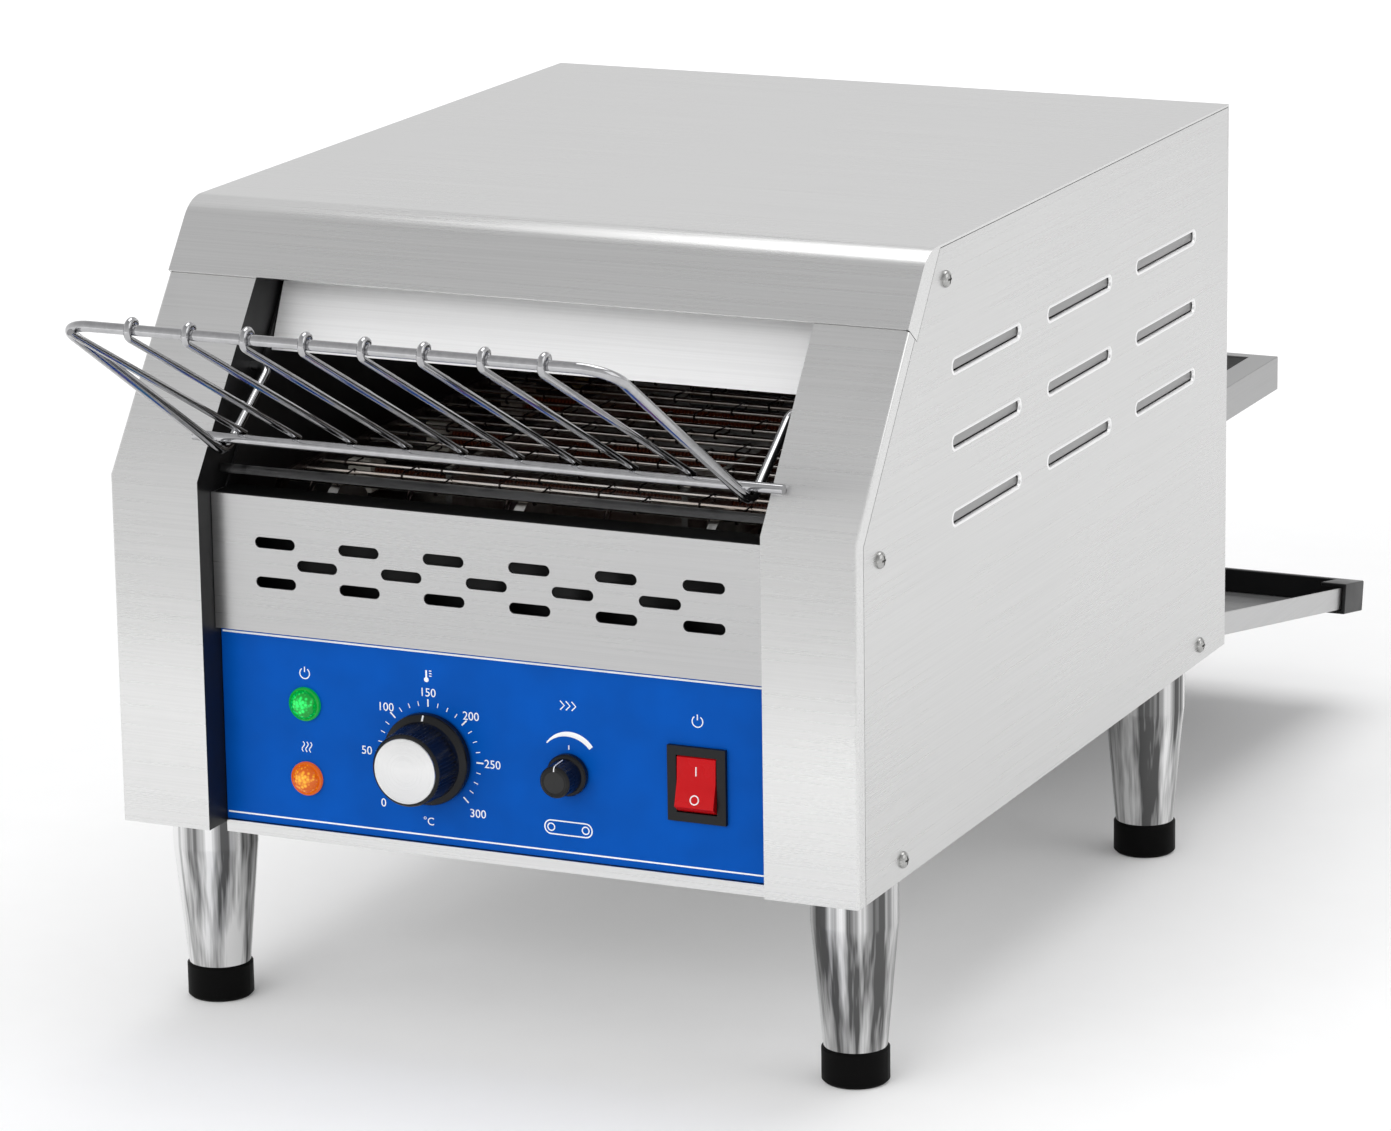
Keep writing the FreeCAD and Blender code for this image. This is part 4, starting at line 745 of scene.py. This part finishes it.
def beltSpots():
    # the cross rods' centres round the two rollers, as (y, z)
    first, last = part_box("drive_shaft"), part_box("idler_shaft")
    level = (first[0][2] + first[1][2]) / 2
    startY, endY = (first[0][1] + first[1][1]) / 2, (last[0][1] + last[1][1]) / 2
    radius = linkSettings["pitchRadius"] * mm
    run, arc = endY - startY, math.pi * radius
    count = round(2 * (run + arc) / (linkSettings["rodPitch"] * mm))
    spots = []
    for index in range(count):
        travel = (index + 0.5) * 2 * (run + arc) / count
        if travel < run:
            spots.append((startY + travel, level + radius))
        elif travel < run + arc:
            turn = (travel - run) / radius
            spots.append((endY + radius * math.sin(turn), level + radius * math.cos(turn)))
        elif travel < 2 * run + arc:
            spots.append((endY - (travel - run - arc), level - radius))
        else:
            turn = (travel - 2 * run - arc) / radius
            spots.append((startY - radius * math.sin(turn), level - radius * math.cos(turn)))
    return spots


def beltLinks():
    # wire loops round each pair of neighbouring rods; row by row they step sideways
    settings = linkSettings
    spots = beltSpots()
    reach = settings["clear"] * mm
    links = []
    for index, first in enumerate(spots):
        second = spots[(index + 1) % len(spots)]
        along = Vector((0, second[0] - first[0], second[1] - first[1])).normalized()
        across = Vector((0, -along.z, along.y))
        shift = (index % settings["cycle"] - (settings["cycle"] - 1) / 2) * settings["shift"]
        for lane in range(settings["lanes"]):
            x = ((lane - settings["lanes"] // 2) * settings["lanePitch"] + shift) * mm
            loop = []
            for rod, turns in ((first, (90, 135, 180, 225, 270)), (second, (-90, -45, 0, 45, 90))):
                for turn in turns:
                    angle = math.radians(turn)
                    loop.append(Vector((x, *rod)) + along * reach * math.cos(angle)
                                + across * reach * math.sin(angle))
            links.append(wireThrough(loop, settings["wire"] * mm, 1, loop=True))
    finished(joined(links), "beltLinks", "linkSteel", "housing", (), 60)


beltLinks()
print("belt linked")


# signal lamps

lampSettings = {
    "profile": [(7.9, 0.0), (8.0, 0.3), (8.0, 1.3), (7.7, 1.9), (7.1, 2.1), (6.7, 1.7), (6.5, 2.0),
                (6.2, 3.0), (5.5, 3.9), (4.3, 4.6), (2.7, 5.05), (1.0, 5.2)],
    "pieces": {"lamp_green": ("lensGreen", "greenLens"), "lamp_amber": ("lensAmber", "amberLens")},
}
for node, (name, finishName) in lampSettings["pieces"].items():
    x, z = lampSpots[node]
    lens = turnedPiece((x, panelY, z), forward, lampSettings["profile"])
    finished(lens, name, finishName, "housing", [node], 50)
print("lamps lit")


# knobs; profiles, caps and the range that is ribbed in millimetres from the panel's face

dialSettings = {
    "spot": dialSpot, "ribs": 60, "ribDepth": 0.965, "ribRange": (8.9, 21.6),
    "profile": [(3.2, 0.3), (20.0, 0.3), (20.8, 0.5), (21.5, 1.4), (21.5, 4.3), (21.1, 5.0), (19.6, 5.9),
                (18.3, 6.4), (18.0, 7.2), (18.0, 9.0), (17.3, 21.5), (16.9, 23.2), (16.2, 24.0),
                (15.56, 24.0), (15.56, 22.7), (1.0, 22.7)],
    "cap": [(15.4, 22.8), (15.45, 24.3), (15.2, 24.8), (14.7, 25.0), (0.4, 25.0)],
    "pointer": [(18.6, 6.35), (19.7, 5.85), (21.0, 5.1)], "pointerWidth": 0.45,
}
speedSettings = {
    "spot": speedSpot, "ribs": 30, "ribDepth": 0.95, "ribRange": (6.1, 14.0),
    "profile": [(3.2, 0.3), (9.2, 0.3), (9.7, 0.7), (9.8, 1.3), (9.8, 3.3), (9.2, 4.1), (8.2, 4.5),
                (8.0, 5.2), (8.0, 6.2), (7.6, 13.9), (7.4, 15.0), (6.8, 15.7), (6.0, 16.0), (5.6, 15.85),
                (0.5, 15.85)],
    "cap": [(5.0, 15.5), (5.0, 15.9), (4.7, 16.0), (0.4, 16.0)],
    "pointer": [(8.05, 6.6), (7.72, 13.6), (7.3, 15.2), (6.2, 15.95), (5.2, 15.95)], "pointerWidth": 0.28,
}


def ribbedKnob(name, settings, node):
    x, z = settings["spot"]
    sides = settings["ribs"] * 2
    knob = turnedPiece((x, panelY, z), forward, settings["profile"], sides)

    def grooved(corner):
        reach = (panelY - corner.co.y) / mm
        turn = math.atan2(corner.co.z - z, corner.co.x - x) / (2 * math.pi) * sides
        low, high = settings["ribRange"]
        return low - 0.05 < reach < high + 0.05 and round(turn) % 2 == 0

    editAll(knob)
    pick(knob, grooved)
    depth = settings["ribDepth"]
    bpy.ops.transform.resize(value=(depth, 1, depth), center_override=(x, panelY, z))
    rest()
    finished(knob, name, "knobPlastic", bodyOf[node], [node], 28)


def pointer(name, settings, body):
    # a moulded white line that shows where the knob stands
    x, z = settings["spot"]
    points = [(x, panelY - reach * mm, z + radius * mm) for radius, reach in settings["pointer"]]
    finished(wireThrough(points, settings["pointerWidth"] * mm), name, "whiteInk", body)


def knobCap(name, settings, sides, finishName, body, standsFor=()):
    x, z = settings["spot"]
    cap = turnedPiece((x, panelY, z), forward, settings["cap"], sides)
    finished(cap, name, finishName, body, standsFor)


ribbedKnob("temperatureKnob", dialSettings, "temperature_knob")
pointer("temperaturePointer", dialSettings, "temperature_dial")
knobCap("temperatureKnobFace", dialSettings, 96, "spunFace", "temperature_dial",
        ["temperature_knob_face"])
ribbedKnob("speedKnob", speedSettings, "speed_knob")
pointer("speedPointer", speedSettings, "speed_dial")
knobCap("speedKnobCap", speedSettings, 48, "spunBlack", "speed_dial")
print("knobs turned")


# printed marks on the control panel, as (x, z) in millimetres

markSettings = {
    "proud": 0.05, "flat": 0.14,
    "dial": (-33.5, 138.0), "numbers": 30.6, "outward": {0: 3.4, 1: 1.4, 5: 1.4, 6: 3.4}, "drop": 0.2,
    "numberSize": 5.6, "tick": (23.9, 27.4), "short": (24.2, 26.4), "line": 0.68, "thin": 0.6,
    "unit": ("°C", -34.6, 107.4, 5.2),
    "sweep": {"centre": (36.9, 142.2), "radius": 14.2, "start": 140, "end": 38, "width": 1.0,
              "steps": 24, "least": 0.5, "swell": 2.1, "turn": 2.1},
    "index": [(37.0, 149.2), (37.0, 151.2)],
    "belt": {"spot": (36.0, 112.0), "half": 8.6, "radius": 3.2, "roller": 1.7},
    "edge": 138.6, "edgeLines": [(100.9, 0.75), (187.5, 0.9)],
}
marks = []


def inkLine(points, width, widths=None):
    # a wire pressed flat on the panel
    line = wireThrough([(x * mm, panelY, z * mm) for x, z in points], width * mm / 2, widths=widths)
    editAll(line)
    bpy.ops.transform.resize(value=(1, markSettings["flat"], 1), center_override=(0, panelY, 0))
    rest()
    marks.append(line)


def inkArc(centre, radius, start, end, width, widths=None, steps=24):
    points = []
    for step in range(steps + 1):
        angle = math.radians(start + (end - start) * step / steps)
        points.append((centre[0] + radius * math.cos(angle), centre[1] + radius * math.sin(angle)))
    inkLine(points, width, widths)


def inkText(words, x, z, size):
    rest()
    bpy.ops.object.text_add(location=(x * mm, panelY, z * mm), rotation=(math.pi / 2, 0, 0))
    text = bpy.context.object
    text.data.body = words
    text.data.size = size * mm
    text.data.align_x = "CENTER"
    text.data.align_y = "CENTER"
    text.data.extrude = markSettings["proud"] * mm
    text.data.resolution_u = 4
    bpy.ops.object.convert(target="MESH")
    settle(bpy.context.object)
    marks.append(bpy.context.object)


def dialMarks():
    # seven numbers over three quarters of a turn, a long tick at each and short ones at the quarters
    settings = markSettings
    x, z = settings["dial"]
    for index in range(7):
        angle = math.radians(225 - 45 * index)
        reach = settings["numbers"] + settings["outward"].get(index, 0)
        inkText(str(50 * index), x + reach * math.cos(angle),
                z + reach * math.sin(angle) - settings["drop"], settings["numberSize"])
    for index in range(25):
        angle = math.radians(225 - 270 * index / 24)
        reaches, share = (settings["tick"], 1) if index % 4 == 0 else (settings["short"], settings["thin"])
        inkLine([(x + reach * math.cos(angle), z + reach * math.sin(angle)) for reach in reaches],
                settings["line"] * share)


def powerSign(x, z, size):
    inkArc((x, z), size, 125, 415, 0.5)
    inkLine([(x, z + size * 0.25), (x, z + size * 1.25)], 0.5)


def heatSign(x, z, size):
    for offset in (-1.0, 0.0, 1.0):
        points = []
        for step in range(13):
            rise = -size + 2 * size * step / 12
            points.append((x + offset * size * 0.8 + 0.28 * size * math.sin(rise / size * math.pi), z + rise))
        inkLine(points, 0.45)


def thermometerSign(x, z, size):
    inkArc((x, z - size), size * 0.30, 0, 360, 0.6 * size, steps=16)
    inkLine([(x, z - size), (x, z + size * 1.2)], 0.42 * size)
    for rise in (-0.1, 0.5, 1.1):
        inkLine([(x + 0.75 * size, z + rise * size), (x + 1.35 * size, z + rise * size)], 0.22 * size)


def speedSign(x, z, size):
    for offset in (-1.1, 0.0, 1.1):
        start = x + offset * size
        inkLine([(start - 0.4 * size, z + 0.8 * size), (start + 0.4 * size, z),
                 (start - 0.4 * size, z - 0.8 * size)], 0.55)


def sweepMark():
    # an arc that swells from its thin start
    settings = markSettings["sweep"]
    steps = settings["steps"]
    widths = [settings["least"] + settings["swell"] * math.sin(step / steps * settings["turn"])
              for step in range(steps + 1)]
    inkArc(settings["centre"], settings["radius"], settings["start"], settings["end"],
           settings["width"], widths, steps)


def beltSign():
    settings = markSettings["belt"]
    x, z = settings["spot"]
    left, right = x - settings["half"], x + settings["half"]
    for end in (left, right):
        inkArc((end, z), settings["roller"], 0, 360, 0.55, steps=20)
    inkArc((left, z), settings["radius"], 90, 270, 0.6)
    inkArc((right, z), settings["radius"], -90, 90, 0.6)
    for rise in (settings["radius"], -settings["radius"]):
        inkLine([(left, z + rise), (right, z + rise)], 0.6)


signs = (
    (powerSign, -96.5, 171.2, 2.5),
    (heatSign, -96.5, 136.2, 2.4),
    (thermometerSign, -34.0, 176.6, 2.0),
    (speedSign, 37.0, 169.6, 2.6),
    (powerSign, 100.7, 169.0, 2.6),
)
dialMarks()
for sign, *place in signs:
    sign(*place)
sweepMark()
inkLine(markSettings["index"], 0.55)
beltSign()
for height, width in markSettings["edgeLines"]:
    inkLine([(-markSettings["edge"], height), (markSettings["edge"], height)], width)
inkText(*markSettings["unit"])
finished(joined(marks), "panelMarks", "whiteInk", "housing", (), 40)
print("marks printed")


# marks on the rocker; place in metres, shapes in millimetres

rockerSettings = {"x": 0.1007, "middle": 0.140, "on": 0.0065, "off": -0.0062, "reach": 0.05,
                  "bar": (2.1, 0.32), "ring": (2.0, 0.3), "steps": 24}


def rockerMark(name, rise, shapeMaker):
    # the mark is laid on the rocker where a line from in front meets it
    settings = rockerSettings
    start = Vector((settings["x"], panelY - settings["reach"], settings["middle"] + rise))
    spot, normal = bpy.data.objects["switchRocker"].ray_cast(start, Vector((0, 1, 0)))[1:3]
    mark = shapeMaker()
    lean = math.atan2(normal.z, -normal.y)
    mark.matrix_world = Matrix.Translation(spot) @ Matrix.Rotation(-lean, 4, "X")
    settle(mark)
    finished(mark, name, "whiteInk", "power_rocker", (), 40)


def barShape():
    half, thick = rockerSettings["bar"]
    return wireThrough([(0, 0, -half * mm), (0, 0, half * mm)], thick * mm)


def ringShape():
    radius, thick = rockerSettings["ring"]
    points = []
    for step in range(rockerSettings["steps"]):
        angle = 2 * math.pi * step / rockerSettings["steps"]
        points.append((radius * mm * math.cos(angle), 0, radius * mm * math.sin(angle)))
    return wireThrough(points, thick * mm, loop=True)


rockerMark("rockerOnMark", rockerSettings["on"], barShape)
rockerMark("rockerOffMark", rockerSettings["off"], ringShape)
print("rocker marked")


# floor, light and camera

floorSettings = {"size": 14.0, "height": -0.0002, "tone": 0.84, "lift": (0.10, 0.62),
                 "range": (0.75, 3.2), "mirrored": 0.35}
worldSettings = {
    "stops": [(0.0, (1.0, 1.0, 1.0)), (0.35, (0.80, 0.80, 0.805)), (1.0, (0.56, 0.56, 0.565))],
    "strength": 0.85,
}
lightSettings = {
    "topBox": {"spot": (0.1, 0.9, 3.2), "target": (0, 0, 0), "size": (2.6, 2.4), "power": 46,
               "mirrored": True},
    "keyBox": {"spot": (-2.0, -2.2, 2.6), "target": (0, 0, 0.2), "size": (2.6, 2.6), "power": 22,
               "mirrored": False},
    "fillBox": {"spot": (2.8, 0.2, 1.8), "target": (0, 0, 0.2), "size": (2.4, 2.0), "power": 14,
                "mirrored": True},
    "frontFill": {"spot": (-0.4, -3.2, 1.3), "target": (0, 0, 0.2), "size": (2.4, 1.6), "power": 42,
                  "mirrored": False},
}
cameraSettings = {"spot": (1.1403, -2.54247, 0.8815), "turn": 24.644, "pitch": 14.42, "roll": -0.839,
                  "lens": 151.2, "sensor": 36.0, "far": 60.0}


def combined(tree, operation, first, second):
    # second is an output or a plain number
    total = tree.nodes.new("ShaderNodeMath")
    total.operation = operation
    link(tree, first, total.inputs[0])
    if isinstance(second, float):
        total.inputs[1].default_value = second
    else:
        link(tree, second, total.inputs[1])
    return total.outputs["Value"]


def whiteFloor():
    # the floor glows towards white away from the part: for the camera it is the white backdrop, in mirrors it
    # is a painted reflection that is dimmer near the part
    settings = floorSettings
    rest()
    bpy.ops.mesh.primitive_grid_add(x_subdivisions=8, y_subdivisions=8, size=settings["size"],
                                    location=(0, 0, settings["height"]))
    floor = bpy.context.object
    settle(floor)
    floor.name = "studioFloor"
    finish, tree, shader = newFinish("floorWhite")
    tone = (settings["tone"],) * 3
    grain = noiseAt(tree, objectPlace(tree), scale=30.0, detail=2.0)
    link(tree, colourBetween(tree, grain, shaded(tone, 0.99), tone), shader.inputs["Base Color"])
    setInputs(shader, {"Roughness": 0.9, "Specular IOR Level": 0.1, "Emission Color": (1, 1, 1, 1)})
    path = tree.nodes.new("ShaderNodeLightPath").outputs
    either = combined(tree, "MAXIMUM", path["Is Glossy Ray"], path["Is Transmission Ray"])
    mirrored = combined(tree, "MULTIPLY", either, settings["mirrored"])
    seen = combined(tree, "MAXIMUM", path["Is Camera Ray"], mirrored)
    lift = between(tree, lengthOf(tree, objectPlace(tree)), *settings["lift"], *settings["range"])
    link(tree, combined(tree, "MULTIPLY", seen, lift), shader.inputs["Emission Strength"])
    floor.data.materials.append(finish)


def studioWorld():
    # a soft sky that lights the part, plain white where the camera sees it
    world = bpy.data.worlds.new("studioWorld")
    bpy.context.scene.world = world
    world.use_nodes = True
    tree = world.node_tree
    plain = tree.nodes["Background"]
    place = tree.nodes.new("ShaderNodeTexCoord")
    parts = tree.nodes.new("ShaderNodeSeparateXYZ")
    link(tree, place.outputs["Generated"], parts.inputs["Vector"])
    sky = tree.nodes.new("ShaderNodeValToRGB")
    stops = worldSettings["stops"]
    for stop in stops[1:-1]:
        sky.color_ramp.elements.new(stop[0])
    for element, (position, colour) in zip(sky.color_ramp.elements, stops):
        element.position = position
        element.color = (*colour, 1)
    link(tree, parts.outputs["Z"], sky.inputs["Fac"])
    link(tree, sky.outputs["Color"], plain.inputs["Color"])
    setInputs(plain, {"Strength": worldSettings["strength"]})
    white = tree.nodes.new("ShaderNodeBackground")
    setInputs(white, {"Color": (1, 1, 1, 1)})
    path = tree.nodes.new("ShaderNodeLightPath")
    mixed = tree.nodes.new("ShaderNodeMixShader")
    sources = (path.outputs["Is Camera Ray"], plain.outputs["Background"], white.outputs["Background"])
    for source, target in zip(sources, mixed.inputs):
        link(tree, source, target)
    link(tree, mixed.outputs["Shader"], tree.nodes["World Output"].inputs["Surface"])


def softBox(name, settings):
    rest()
    spot = Vector(settings["spot"])
    bpy.ops.object.light_add(type="AREA", location=spot)
    lamp = bpy.context.object
    lamp.name = name
    lamp.data.shape = "RECTANGLE"
    lamp.data.size, lamp.data.size_y = settings["size"]
    lamp.data.energy = settings["power"]
    lamp.rotation_euler = (Vector(settings["target"]) - spot).to_track_quat("-Z", "Y").to_euler()
    lamp.visible_glossy = settings["mirrored"]


def mainCamera():
    settings = cameraSettings
    cameraData = bpy.data.cameras.new("mainCamera")
    cameraData.lens = settings["lens"]
    cameraData.sensor_width = settings["sensor"]
    cameraData.clip_end = settings["far"]
    camera = bpy.data.objects.new("mainCamera", cameraData)
    bpy.context.collection.objects.link(camera)
    camera.matrix_world = (Matrix.Translation(settings["spot"])
                           @ Matrix.Rotation(math.radians(settings["turn"]), 4, "Z")
                           @ Matrix.Rotation(math.radians(90 - settings["pitch"]), 4, "X")
                           @ Matrix.Rotation(math.radians(settings["roll"]), 4, "Z"))
    bpy.context.scene.camera = camera


whiteFloor()
studioWorld()
for name, settings in lightSettings.items():
    softBox(name, settings)
mainCamera()
bpy.context.scene.view_settings.view_transform = "Standard"
print("studio set")
